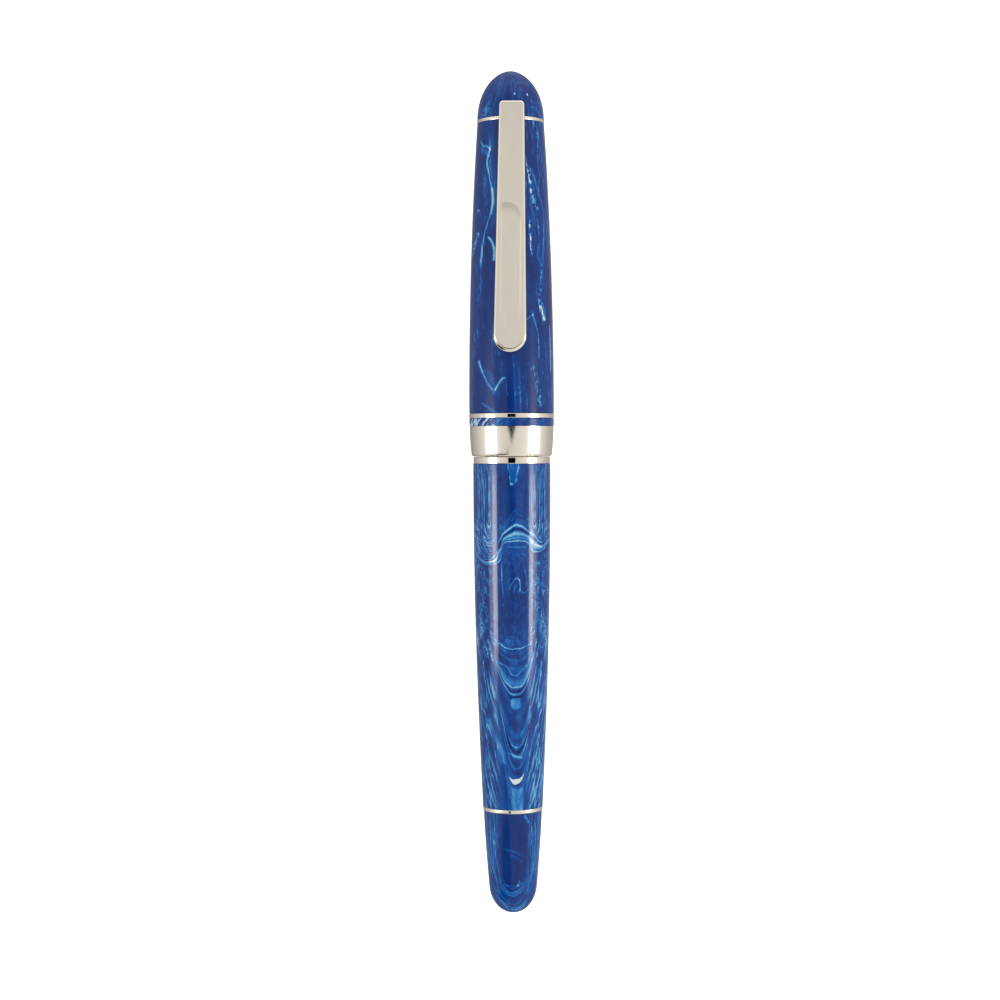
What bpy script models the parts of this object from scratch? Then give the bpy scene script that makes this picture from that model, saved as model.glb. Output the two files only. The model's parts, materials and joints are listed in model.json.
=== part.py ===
"""A capped fountain pen of marbled resin with polished metal trim, piece by piece.

The pen lies on its back with the clip upwards: its axis runs along Y, the cap end towards +Y.
The origin is under the middle of its length, on the surface that it lies on.
Sizes below are in millimetres. A turned outline is a list of (radius, y) points on the pen's
axis: it runs down the outside from the +Y end, and then back up through the bore if there is one.
"""
import math

import bmesh
import bpy
from mathutils import Vector

MM = 0.001

# Overall
LENGTH = 139.5
TIP_Y = LENGTH / 2
TAIL_Y = -LENGTH / 2
ROUND_SIDES = 32
INNER_SIDES = 20
THREAD_SIDES = 20
FIT = 0.1          # gap between pieces that are fixed together
CLEAR = 0.3        # gap between pieces that move past each other

# Cap
CAP_LIP_Y = 5.87
BAND_TOP_Y = 10.8
SPACER_TOP_Y = 12.1
TRIM_TOP_Y = 12.9
CAP_BODY_Y = 13.0
CLIP_RING_Y = 60.97
CLIP_RING_THICK = 0.53
CAP_RADIUS = 7.06
CAP_TOP_RADIUS = 5.55
CAP_SWELL = 1.9                # exponent of the cap's outline: round towards the lip
TRIM_RADIUS = 7.06
BAND_TOP_RADIUS = 6.95
BAND_LOW_RADIUS = 6.68
BAND_CORNER = 0.35
TENON_RADIUS = 6.15            # the cap's thin end, which the rings and the band sit on
CAP_THREAD_BORE = 5.75
CAP_BORE = 5.45
LINER_BORE = 4.75
LINER_LOW_Y = 35.6
CAP_WEB_Y = 58.6               # underside of the cap's end wall

# Inner cap
LINER_RADIUS = 4.6
LINER_INNER_RADIUS = 3.9
LINER_ROOF = 0.7

# Clip
CLIP_TOP_Y = 63.7
CLIP_LOW_Y = 22.75
CLIP_TOP_HALF_WIDTH = 2.15
CLIP_LOW_HALF_WIDTH = 2.62
CLIP_CORNER = 0.65
CLIP_TOP_FACE = 7.5            # height of the outer face above the pen's axis
CLIP_LOW_FACE = 9.0
CLIP_THICK = 1.2
CLIP_LEG_HALF_WIDTH = 1.4
CLIP_PIVOT_HEIGHT = 6.3
CLIP_EDGE = 0.22

# Section and nib
SECTION_FRONT_Y = 35.5
SECTION_RING = 0.65
SECTION_REAR_Y = -6.0
SECTION_SHOULDER_Y = 5.87
SECTION_BORE = 3.75
HOUSING_BORE = 3.35
HOUSING_SEAT_Y = 15.9
GRIP_REAR_RADIUS = 5.05
GRIP_WAIST_RADIUS = 4.3
GRIP_FLARE_RADIUS = 4.6
THREAD_ROOT = 0.7              # width of a thread's ridge where it leaves the core
CAP_THREAD_STARTS = 3
CAP_THREAD_LEAD = 3.0
BARREL_THREAD_LEAD = 1.25
THREAD_CORE = 5.1
THREAD_CREST = 5.45
BARREL_THREAD_CORE = 4.4
BARREL_THREAD_CREST = 4.7
HOUSING_RADIUS = 3.25
HOUSING_INNER_RADIUS = 2.9
NIPPLE_RADIUS = 2.0
NIPPLE_END_Y = 11.2
FEED_RADIUS = 2.35
FEED_FINS = 9
FEED_SIDES = 16
NIB_TIP_Y = 55.3
NIB_REAR_Y = 24.0
NIB_SHOULDER_Y = 39.5
NIB_BEND_Y = 37.5              # from here on the nib slopes down towards its tip
NIB_RADIUS = 2.5               # inner radius of the rolled sheet
NIB_DROP = 1.45
NIB_THICK = 0.3
NIB_HALF_WIDTH = 3.8
NIB_TINE_HALF_WIDTH = 0.42
TIPPING_RADIUS = 0.48

# Barrel
BARREL_RING_FRONT_Y = 5.57
BARREL_RING_REAR_Y = 4.7
BARREL_RING_RADIUS = 6.35
BARREL_FRONT_Y = 4.6
BARREL_END_Y = -52.0
BARREL_FRONT_RADIUS = 6.41
BARREL_END_RADIUS = 4.94
BUSH_RADIUS = 5.45
BUSH_BORE = 5.0
BUSH_END_Y = -5.6
BARREL_CAVITY_Y = -50.4
END_RING_RADIUS = 4.92
END_RING_REAR_Y = -52.65
END_CAP_RADIUS = 4.83
END_DOME_RADIUS = 3.96
END_DOME_Y = -65.1
STUD_HOLE = 1.6
STUD_RADIUS = 1.3

# Ink converter
MOUTH_Y = 15.6
TUBE_END_Y = -19.0
TUBE_RADIUS = 3.4
TUBE_BORE = 2.95
TUBE_NECK_BORE = 2.3
SLEEVE_RADIUS = 3.8
SLEEVE_FRONT_Y = -17.0
SLEEVE_END_Y = -29.0
KNOB_FRONT_Y = -29.3
KNOB_END_Y = -40.4
KNOB_RADIUS = 3.4
KNOB_GRIP_CUTS = 12
ROD_RADIUS = 1.2
ROD_END_Y = -24.5
SCREW_BORE = 1.5
PISTON_FRONT_Y = 10.4
PISTON_LENGTH = 3.4
PISTON_RADIUS = 2.65

# The flat of the turned pieces that lies on the table sets the height of the pen's axis.
AXIS_HEIGHT = TRIM_RADIUS * math.cos(math.pi / ROUND_SIDES)


# ---------------------------------------------------------------- tools

def clear_scene():
    for old in list(bpy.data.objects):
        bpy.data.objects.remove(old, do_unlink=True)


def new_collection(name):
    group = bpy.data.collections.new(name)
    bpy.context.scene.collection.children.link(group)
    return group


def new_material(name, colour, metallic, roughness):
    material = bpy.data.materials.new(name)
    material.use_nodes = True
    shader = material.node_tree.nodes["Principled BSDF"]
    shader.inputs["Base Color"].default_value = (*colour, 1.0)
    shader.inputs["Metallic"].default_value = metallic
    shader.inputs["Roughness"].default_value = roughness
    material.diffuse_color = (*colour, 1.0)
    return material


FINISHES = {
    "resin": ((0.012, 0.045, 0.34), 0.0, 0.12),
    "trim": ((0.80, 0.76, 0.70), 1.0, 0.12),
    "black_resin": ((0.012, 0.012, 0.014), 0.0, 0.15),
    "black_plastic": ((0.015, 0.015, 0.016), 0.0, 0.45),
    "clear_plastic": ((0.75, 0.80, 0.82), 0.0, 0.08),
    "brass": ((0.70, 0.52, 0.24), 1.0, 0.3),
    "rubber": ((0.02, 0.02, 0.02), 0.0, 0.7),
    "nib_steel": ((0.83, 0.83, 0.82), 1.0, 0.1),
}


def add_node(name, mesh, finish, parent):
    """Put a mesh in the pen's collection as one named piece with a material of its own."""
    piece = bpy.data.objects.new(name, mesh)
    mesh.materials.append(new_material(name + "_" + finish, *FINISHES[finish]))
    PEN.objects.link(piece)
    piece.parent = parent
    return piece


def add_cutter(name, mesh, parent):
    tool = bpy.data.objects.new(name, mesh)
    CUTTERS.objects.link(tool)
    tool.parent = parent
    tool.hide_render = True
    tool.display_type = "WIRE"
    return tool


def outline_mesh(name, outline):
    """The edges of a turned outline, in the half plane at +X around Z."""
    points = [Vector((radius * MM, 0.0, y * MM)) for radius, y in outline]
    edges = [(i, i + 1) for i in range(len(points) - 1)]
    if outline[0][0] > 0:
        edges.append((len(points) - 1, 0))
    mesh = bpy.data.meshes.new(name)
    mesh.from_pydata(points, edges, [])
    return mesh


def spin(piece, sides, turns=1.0, rise=0.0):
    """Turn an outline about the pen's axis, rising along it for a helix."""
    screw = piece.modifiers.new("turn", "SCREW")
    screw.axis = "Z"
    screw.angle = math.tau * turns
    screw.screw_offset = rise * MM
    screw.steps = round(sides * turns)
    screw.render_steps = screw.steps
    screw.use_merge_vertices = rise == 0.0
    screw.merge_threshold = 1e-6
    screw.use_smooth_shade = True


def turned(name, outline, finish, parent, sides=ROUND_SIDES):
    piece = add_node(name, outline_mesh(name, outline), finish, parent)
    spin(piece, sides)
    return piece


def boolean(piece, operation, tool):
    step = piece.modifiers.new(operation.lower(), "BOOLEAN")
    step.operation = operation
    step.solver = "EXACT"
    step.object = tool
    return step


def box_mesh(name, low, high):
    """A box between two corners, in millimetres."""
    bm = bmesh.new()
    bmesh.ops.create_cube(bm, size=1.0)
    for vert in bm.verts:
        for i in range(3):
            vert.co[i] = (high[i] if vert.co[i] > 0 else low[i]) * MM
    mesh = bpy.data.meshes.new(name)
    bm.to_mesh(mesh)
    bm.free()
    return mesh


def curve_points(start, handle_a, handle_b, end, count):
    """Points on a cubic curve, both ends included."""
    points = []
    for i in range(count + 1):
        t = i / count
        s = 1.0 - t
        weights = (s ** 3, 3 * s * s * t, 3 * s * t * t, t ** 3)
        corners = (start, handle_a, handle_b, end)
        points.append(tuple(sum(w * c[k] for w, c in zip(weights, corners)) for k in (0, 1)))
    return points


def rear_corner_points(radius, y, size):
    """A quarter round on the outside of a ring's rear edge."""
    points = []
    for i in range(4):
        angle = math.pi / 2 * i / 3
        points.append((radius - size + size * math.cos(angle), y + size - size * math.sin(angle)))
    return points


def ring_outline(outer, bore, front, rear, edge=0.1):
    return [
        (bore, front),
        (outer - edge, front),
        (outer, front - edge),
        (outer, rear + edge),
        (outer - edge, rear),
        (bore, rear),
    ]


# ---------------------------------------------------------------- cap

def cap_radius(y):
    """Outer radius of the cap's body, which swells from the clip ring to the lip."""
    share = (y - CAP_BODY_Y) / (CLIP_RING_Y - CAP_BODY_Y)
    return CAP_RADIUS - (CAP_RADIUS - CAP_TOP_RADIUS) * share ** CAP_SWELL


def make_cap_body(axis):
    top = CLIP_RING_Y - FIT
    steps = 8
    edge = 0.15
    low = CAP_BODY_Y + edge
    outside = [(cap_radius(top + (low - top) * i / steps), top + (low - top) * i / steps)
               for i in range(steps + 1)]
    tenon_end = CAP_LIP_Y + 0.7
    outline = [(STUD_HOLE + CLEAR, top)] + outside + [
        (CAP_RADIUS - edge, CAP_BODY_Y),
        (TENON_RADIUS, CAP_BODY_Y),
        (TENON_RADIUS, tenon_end),
        (CAP_THREAD_BORE, tenon_end),
        (CAP_THREAD_BORE, 15.0),
        (CAP_BORE, 15.0 + CLEAR),
        (CAP_BORE, LINER_LOW_Y),
        (LINER_BORE, LINER_LOW_Y),
        (LINER_BORE, CAP_WEB_Y),
        (STUD_HOLE + CLEAR, CAP_WEB_Y),
    ]
    turned("cap_body", outline, "resin", axis)


def make_cap_rings(axis):
    bore = TENON_RADIUS + FIT
    turned("cap_trim_ring", ring_outline(TRIM_RADIUS, bore, TRIM_TOP_Y, SPACER_TOP_Y + FIT),
           "trim", axis)
    turned("cap_spacer_ring", ring_outline(CAP_RADIUS - 0.02, bore, SPACER_TOP_Y, BAND_TOP_Y + FIT, 0.05),
           "resin", axis)
    outline = [(bore, BAND_TOP_Y), (BAND_TOP_RADIUS - 0.1, BAND_TOP_Y), (BAND_TOP_RADIUS, BAND_TOP_Y - 0.1)]
    outline += rear_corner_points(BAND_LOW_RADIUS, CAP_LIP_Y, BAND_CORNER)
    outline += [
        (CAP_THREAD_BORE + 0.05, CAP_LIP_Y),
        (CAP_THREAD_BORE + 0.05, CAP_LIP_Y + 0.6),
        (bore, CAP_LIP_Y + 0.6),
    ]
    turned("cap_band", outline, "trim", axis)


def make_finial(axis):
    """The dome on the cap's end, and the stud that holds it and the clip ring to the cap."""
    base = CLIP_RING_Y + CLIP_RING_THICK + FIT
    hole_end = base + 4.4
    dome = curve_points((0.0, TIP_Y), (2.9, TIP_Y), (5.45, base + 4.9), (CAP_TOP_RADIUS, base), 9)
    outline = [(0.0, TIP_Y)] + dome[1:] + [(STUD_HOLE + FIT, base), (STUD_HOLE + FIT, hole_end), (0.0, hole_end)]
    turned("cap_finial", outline, "resin", axis)
    stud_low = CAP_WEB_Y + CLEAR
    stud_top = hole_end - CLEAR
    outline = [(0.0, stud_top), (STUD_HOLE - 0.3, stud_top), (STUD_HOLE, stud_top - 0.3),
               (STUD_HOLE, stud_low), (0.0, stud_low)]
    turned("finial_stud", outline, "brass", axis, INNER_SIDES)


def make_clip_ring(axis):
    """A flat washer with a small tab under the clip's root."""
    front = CLIP_RING_Y + CLIP_RING_THICK
    outline = ring_outline(CAP_TOP_RADIUS + 0.03, STUD_HOLE + FIT, front, CLIP_RING_Y)
    ring = turned("clip_ring", outline, "trim", axis)
    half = CLIP_LEG_HALF_WIDTH
    inset = 0.02
    tab = box_mesh("clip_tab", (-half, -(CLIP_PIVOT_HEIGHT - 0.4), CLIP_RING_Y + inset),
                   (half, -(CAP_TOP_RADIUS - 1.2), front - inset))
    boolean(ring, "UNION", add_cutter("clip_tab", tab, axis))


def make_inner_cap(axis):
    roof = CAP_WEB_Y - CLEAR
    low = LINER_LOW_Y + 0.2
    outline = [
        (0.0, roof),
        (LINER_RADIUS - 0.4, roof),
        (LINER_RADIUS, roof - 0.4),
        (LINER_RADIUS, low),
        (LINER_INNER_RADIUS, low),
        (LINER_INNER_RADIUS, roof - LINER_ROOF),
        (0.0, roof - LINER_ROOF),
    ]
    turned("inner_cap", outline, "black_plastic", axis, INNER_SIDES)


def clip_face_height(y):
    share = (CLIP_TOP_Y - y) / (CLIP_TOP_Y - CLIP_LOW_Y)
    return CLIP_TOP_FACE + (CLIP_LOW_FACE - CLIP_TOP_FACE) * share


def clip_plan():
    """The clip seen from outside: (x, y) points, round at the low end."""
    plan = []
    for i in range(4):
        angle = math.pi / 2 * i / 3
        plan.append((CLIP_TOP_HALF_WIDTH - CLIP_CORNER + CLIP_CORNER * math.sin(angle),
                     CLIP_TOP_Y - CLIP_CORNER + CLIP_CORNER * math.cos(angle)))
    centre = CLIP_LOW_Y + CLIP_LOW_HALF_WIDTH
    for i in range(9):
        angle = math.pi / 2 * i / 8
        plan.append((CLIP_LOW_HALF_WIDTH * math.cos(angle), centre - CLIP_LOW_HALF_WIDTH * math.sin(angle)))
    left = [(-x, y) for x, y in reversed(plan) if x > 1e-6]
    return plan + left


def make_clip(pivot):
    """A straight springy bar with bevelled edges, on a short leg over the ring's tab."""
    bm = bmesh.new()
    verts = []
    for x, y in clip_plan():
        height = clip_face_height(y) - CLIP_THICK - CLIP_PIVOT_HEIGHT
        verts.append(bm.verts.new((x * MM, (y - CLIP_RING_Y) * MM, height * MM)))
    bm.faces.new(verts)
    bmesh.ops.recalc_face_normals(bm, faces=bm.faces)
    mesh = bpy.data.meshes.new("clip")
    bm.to_mesh(mesh)
    bm.free()
    clip = add_node("clip", mesh, "trim", pivot)
    solid = clip.modifiers.new("thickness", "SOLIDIFY")
    solid.thickness = CLIP_THICK * MM
    solid.offset = 1.0 if mesh.polygons[0].normal.z > 0 else -1.0
    edge = clip.modifiers.new("edges", "BEVEL")
    edge.width = CLIP_EDGE * MM
    edge.segments = 1
    edge.limit_method = "ANGLE"
    edge.angle_limit = math.radians(60)
    half = CLIP_LEG_HALF_WIDTH
    under = clip_face_height(CLIP_RING_Y) - CLIP_THICK - CLIP_PIVOT_HEIGHT
    leg = box_mesh("clip_leg", (-half, -0.45, -0.28), (half, 0.9, under + 0.4))
    boolean(clip, "UNION", add_cutter("clip_leg", leg, pivot))
    foot_y = CLIP_LOW_Y + 3.2 - CLIP_RING_Y
    foot_low = cap_radius(CLIP_LOW_Y + 4.0) + CLEAR - CLIP_PIVOT_HEIGHT
    foot_top = CLIP_LOW_FACE - CLIP_THICK - CLIP_PIVOT_HEIGHT + 0.3
    foot = box_mesh("clip_foot", (-1.2, foot_y - 0.8, foot_low), (1.2, foot_y + 0.8, foot_top))
    boolean(clip, "UNION", add_cutter("clip_foot", foot, pivot))


# ---------------------------------------------------------------- section and nib

def thread_ridge(name, core, crest, lead, turns, low_y, start_turn, axis):
    """One start of a screw thread: a triangular ridge on a helix, closed at both ends."""
    root = core - 0.15
    corners = [(root, THREAD_ROOT / 2), (crest, 0.0), (root, -THREAD_ROOT / 2)]
    guide = add_cutter(name + "_profile", outline_mesh(name, corners), axis)
    spin(guide, THREAD_SIDES, turns, lead * turns)
    bpy.context.view_layer.update()
    shape = bpy.data.meshes.new_from_object(guide.evaluated_get(bpy.context.evaluated_depsgraph_get()))
    bpy.data.objects.remove(guide)
    bm = bmesh.new()
    bm.from_mesh(shape)
    bmesh.ops.holes_fill(bm, edges=[e for e in bm.edges if e.is_boundary])
    bmesh.ops.recalc_face_normals(bm, faces=bm.faces)
    bm.to_mesh(shape)
    bm.free()
    ridge = add_cutter(name, shape, axis)
    ridge.location.z = low_y * MM
    ridge.rotation_euler.z = math.tau * start_turn
    return ridge


def make_section(axis):
    """The grip, with the cap's thread at its back and the barrel's thread behind that."""
    front = SECTION_FRONT_Y - SECTION_RING - FIT
    grip_low = 16.0
    grip = curve_points((GRIP_FLARE_RADIUS, front - 1.0), (GRIP_WAIST_RADIUS - 0.15, front - 5.5),
                        (GRIP_WAIST_RADIUS + 0.1, grip_low + 8.0), (GRIP_REAR_RADIUS, grip_low), 7)
    outline = [(HOUSING_BORE, front), (GRIP_FLARE_RADIUS - 0.15, front)] + grip + [
        (THREAD_CORE, 14.9),
        (THREAD_CORE, 6.7),
        (THREAD_CREST, 6.4),
        (THREAD_CREST, SECTION_SHOULDER_Y),
        (BARREL_THREAD_CORE, SECTION_SHOULDER_Y),
        (BARREL_THREAD_CORE, SECTION_REAR_Y + 0.2),
        (BARREL_THREAD_CORE - 0.2, SECTION_REAR_Y),
        (SECTION_BORE, SECTION_REAR_Y),
        (SECTION_BORE, HOUSING_SEAT_Y),
        (HOUSING_BORE, HOUSING_SEAT_Y),
    ]
    section = turned("section_grip", outline, "black_resin", axis, THREAD_SIDES)
    for i in range(CAP_THREAD_STARTS):
        ridge = thread_ridge(f"cap_thread_{i + 1}", THREAD_CORE, THREAD_CREST, CAP_THREAD_LEAD, 2.1,
                             7.4, i / CAP_THREAD_STARTS, axis)
        boolean(section, "UNION", ridge)
    ridge = thread_ridge("barrel_thread", BARREL_THREAD_CORE, BARREL_THREAD_CREST, BARREL_THREAD_LEAD, 6.5,
                         -5.0, 0.0, axis)
    boolean(section, "UNION", ridge)
    ring = ring_outline(GRIP_FLARE_RADIUS, HOUSING_BORE, SECTION_FRONT_Y, SECTION_FRONT_Y - SECTION_RING)
    turned("section_ring", ring, "trim", axis, INNER_SIDES)


def make_nib_housing(axis):
    """The sleeve that holds nib and feed, with the nipple that the converter pushes on."""
    front = SECTION_FRONT_Y - 0.4
    seat = HOUSING_SEAT_Y + CLEAR
    outline = [
        (HOUSING_INNER_RADIUS, front),
        (HOUSING_RADIUS, front),
        (HOUSING_RADIUS, seat),
        (NIPPLE_RADIUS, seat),
        (NIPPLE_RADIUS, NIPPLE_END_Y + 0.6),
        (NIPPLE_RADIUS - 0.3, NIPPLE_END_Y),
        (1.0, NIPPLE_END_Y),
        (1.0, seat + 1.8),
        (HOUSING_INNER_RADIUS, seat + 1.8),
    ]
    turned("nib_housing", outline, "black_plastic", axis, INNER_SIDES)


def nib_height(y):
    """Height of the nib's inner side above the axis, along its spine."""
    share = max(0.0, (y - NIB_BEND_Y) / (NIB_TIP_Y - NIB_BEND_Y))
    return NIB_RADIUS - NIB_DROP * share


def nib_half_width(y):
    """Half the width of the sheet before it is rolled."""
    if y <= NIB_SHOULDER_Y:
        share = (NIB_SHOULDER_Y - y) / (NIB_SHOULDER_Y - NIB_REAR_Y)
        return NIB_HALF_WIDTH - 0.6 * math.sin(min(1.0, share * 3.0) * math.pi / 2)
    share = (y - NIB_SHOULDER_Y) / (NIB_TIP_Y - NIB_SHOULDER_Y)
    return NIB_TINE_HALF_WIDTH + (NIB_HALF_WIDTH - NIB_TINE_HALF_WIDTH) * (1.0 - share) ** 1.35


def make_feed(axis):
    """A finned cone under the nib."""
    rear = 19.0
    nose = 52.8
    slope = NIB_DROP / (NIB_TIP_Y - NIB_BEND_Y)

    def feed_radius(y):
        return min(FEED_RADIUS, FEED_RADIUS - slope * (y - NIB_BEND_Y))

    outline = [(0.0, nose), (0.6, nose - 0.1), (feed_radius(nose - 1.2), nose - 1.2)]
    fin = 0.5
    for i in range(FEED_FINS):
        y = 46.5 - 2 * fin * i
        outline.append((feed_radius(y), y))
        outline.append((feed_radius(y) - 0.6, y))
        outline.append((feed_radius(y - fin) - 0.6, y - fin))
        outline.append((feed_radius(y - fin), y - fin))
    outline += [(FEED_RADIUS, rear + 0.4), (FEED_RADIUS - 0.4, rear), (0.0, rear)]
    turned("feed", outline, "black_plastic", axis, FEED_SIDES)


def make_nib(axis):
    """A rolled sheet that tapers to two tines, with a breather hole, and its tipping."""
    along = 14
    across = 8
    bm = bmesh.new()
    rows = []
    for i in range(along + 1):
        y = NIB_REAR_Y + (NIB_TIP_Y - NIB_REAR_Y) * i / along
        row = []
        for j in range(across + 1):
            angle = nib_half_width(y) / NIB_RADIUS * (2.0 * j / across - 1.0)
            height = nib_height(y) - NIB_RADIUS + NIB_RADIUS * math.cos(angle)
            row.append(bm.verts.new((NIB_RADIUS * math.sin(angle) * MM, -height * MM, y * MM)))
        rows.append(row)
    for low, high in zip(rows, rows[1:]):
        for j in range(across):
            bm.faces.new((low[j], low[j + 1], high[j + 1], high[j]))
    bmesh.ops.recalc_face_normals(bm, faces=bm.faces)
    mesh = bpy.data.meshes.new("nib")
    bm.to_mesh(mesh)
    bm.free()
    nib = add_node("nib", mesh, "nib_steel", axis)
    solid = nib.modifiers.new("sheet", "SOLIDIFY")
    solid.thickness = NIB_THICK * MM
    middle = mesh.polygons[(along // 2) * across + across // 2]
    solid.offset = 1.0 if middle.normal.y < 0 else -1.0
    hole = bmesh.new()
    bmesh.ops.create_cone(hole, cap_ends=True, segments=12, radius1=0.6 * MM, radius2=0.6 * MM, depth=4 * MM)
    breather = bpy.data.meshes.new("breather_hole")
    hole.to_mesh(breather)
    hole.free()
    drill = add_cutter("breather_hole", breather, axis)
    drill.location = (0.0, -2.5 * MM, 44.5 * MM)
    drill.rotation_euler = (math.pi / 2, 0.0, 0.0)
    boolean(nib, "DIFFERENCE", drill)
    ball = bmesh.new()
    bmesh.ops.create_uvsphere(ball, u_segments=12, v_segments=8, radius=TIPPING_RADIUS * MM)
    tipping = bpy.data.meshes.new("nib_tipping")
    ball.to_mesh(tipping)
    ball.free()
    pellet = add_node("nib_tipping", tipping, "nib_steel", axis)
    pellet.location = (0.0, -(nib_height(NIB_TIP_Y) + 0.1) * MM, (NIB_TIP_Y + TIPPING_RADIUS + 0.02) * MM)


# ---------------------------------------------------------------- barrel

def make_barrel(axis):
    front_radius = BARREL_FRONT_RADIUS
    outside = curve_points((front_radius, BARREL_FRONT_Y - 0.1), (front_radius, BARREL_FRONT_Y - 20.0),
                           (BARREL_END_RADIUS + 1.0, BARREL_END_Y + 20.0),
                           (BARREL_END_RADIUS, BARREL_END_Y), 10)
    cavity_front = BUSH_END_Y - 0.8
    outline = [(BUSH_RADIUS + FIT, BARREL_FRONT_Y), (front_radius - 0.1, BARREL_FRONT_Y)] + outside + [
        (STUD_HOLE, BARREL_END_Y),
        (STUD_HOLE, BARREL_CAVITY_Y),
        (3.8, BARREL_CAVITY_Y),
        (4.6, cavity_front),
        (BUSH_RADIUS + FIT, cavity_front),
    ]
    turned("barrel", outline, "resin", axis)


def make_barrel_bush(axis):
    """The metal ring at the barrel's mouth, and the threaded bush that it is the flange of."""
    edge = 0.15
    outline = [
        (BUSH_BORE, BARREL_RING_FRONT_Y),
        (BARREL_RING_RADIUS - edge, BARREL_RING_FRONT_Y),
        (BARREL_RING_RADIUS, BARREL_RING_FRONT_Y - edge),
        (BARREL_RING_RADIUS, BARREL_RING_REAR_Y + edge),
        (BARREL_RING_RADIUS - edge, BARREL_RING_REAR_Y),
        (BUSH_RADIUS, BARREL_RING_REAR_Y),
        (BUSH_RADIUS, BUSH_END_Y),
        (BUSH_BORE, BUSH_END_Y),
    ]
    turned("barrel_ring", outline, "trim", axis)


def make_barrel_end(axis):
    """The end ring, the end cap, and the screw from inside the barrel that holds both."""
    ring = ring_outline(END_RING_RADIUS, STUD_HOLE, BARREL_END_Y - FIT, END_RING_REAR_Y, 0.08)
    turned("end_ring", ring, "trim", axis)
    base = END_RING_REAR_Y - FIT
    hole_end = base - 6.2
    dome = curve_points((END_DOME_RADIUS, END_DOME_Y), (END_DOME_RADIUS - 0.1, END_DOME_Y - 2.0),
                        (2.3, TAIL_Y), (0.0, TAIL_Y), 8)
    outline = [
        (0.0, hole_end),
        (STUD_HOLE, hole_end),
        (STUD_HOLE, base),
        (END_CAP_RADIUS, base),
        (4.42, -60.0),
    ] + dome
    turned("end_cap", outline, "resin", axis)
    head_top = BARREL_CAVITY_Y + 1.0
    outline = [
        (0.0, head_top - 0.4),
        (0.5, head_top - 0.4),
        (0.5, head_top),
        (2.1, head_top),
        (2.4, head_top - 0.3),
        (2.4, BARREL_CAVITY_Y + FIT),
        (STUD_RADIUS, BARREL_CAVITY_Y + FIT),
        (STUD_RADIUS, hole_end + 0.6),
        (STUD_RADIUS - 0.3, hole_end + CLEAR),
        (0.0, hole_end + CLEAR),
    ]
    turned("end_screw", outline, "brass", axis, INNER_SIDES)


# ---------------------------------------------------------------- ink converter

def make_converter_tube(axis):
    outline = [
        (TUBE_NECK_BORE, MOUTH_Y),
        (TUBE_RADIUS - 0.3, MOUTH_Y),
        (TUBE_RADIUS, MOUTH_Y - 0.3),
        (TUBE_RADIUS, TUBE_END_Y),
        (TUBE_BORE, TUBE_END_Y),
        (TUBE_BORE, NIPPLE_END_Y - 0.2),
        (TUBE_NECK_BORE, NIPPLE_END_Y),
    ]
    turned("converter_tube", outline, "clear_plastic", axis, INNER_SIDES)


def make_converter_sleeve(axis):
    nut_bore = 2.6
    outline = [
        (TUBE_RADIUS + FIT, SLEEVE_FRONT_Y),
        (SLEEVE_RADIUS - 0.1, SLEEVE_FRONT_Y),
        (SLEEVE_RADIUS, SLEEVE_FRONT_Y - 0.2),
        (SLEEVE_RADIUS, SLEEVE_END_Y + 0.2),
        (SLEEVE_RADIUS - 0.2, SLEEVE_END_Y),
        (nut_bore, SLEEVE_END_Y),
        (nut_bore, TUBE_END_Y - CLEAR),
        (TUBE_RADIUS + FIT, TUBE_END_Y - CLEAR),
    ]
    turned("converter_sleeve", outline, "trim", axis, INNER_SIDES)


def make_converter_drive(axis):
    """The knob with its finger flutes, and the drive nut inside the sleeve."""
    outline = [
        (SCREW_BORE, KNOB_FRONT_Y),
        (KNOB_RADIUS - 0.3, KNOB_FRONT_Y),
        (KNOB_RADIUS, KNOB_FRONT_Y - 0.3),
        (KNOB_RADIUS, KNOB_END_Y + 0.5),
        (KNOB_RADIUS - 0.5, KNOB_END_Y),
        (0.0, KNOB_END_Y),
        (0.0, KNOB_END_Y + 1.0),
        (SCREW_BORE, KNOB_END_Y + 1.0),
    ]
    start = outline.index((0.0, KNOB_END_Y + 1.0))
    knob = turned("converter_knob", outline[start:] + outline[:start], "black_plastic", axis, 24)
    flute_radius = 0.4
    for i in range(KNOB_GRIP_CUTS):
        angle = math.tau * i / KNOB_GRIP_CUTS
        bm = bmesh.new()
        bmesh.ops.create_cone(bm, cap_ends=True, segments=6, radius1=flute_radius * MM,
                              radius2=flute_radius * MM, depth=7.0 * MM)
        mesh = bpy.data.meshes.new(f"knob_flute_{i + 1}")
        bm.to_mesh(mesh)
        bm.free()
        flute = add_cutter(mesh.name, mesh, axis)
        flute.location = (KNOB_RADIUS * math.cos(angle) * MM, KNOB_RADIUS * math.sin(angle) * MM,
                          (KNOB_FRONT_Y + KNOB_END_Y) / 2 * MM)
        boolean(knob, "DIFFERENCE", flute)
    nut_front = TUBE_END_Y - 1.0
    turned("drive_nut", ring_outline(2.3, SCREW_BORE, nut_front, SLEEVE_END_Y + CLEAR), "brass", axis, INNER_SIDES)


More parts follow.
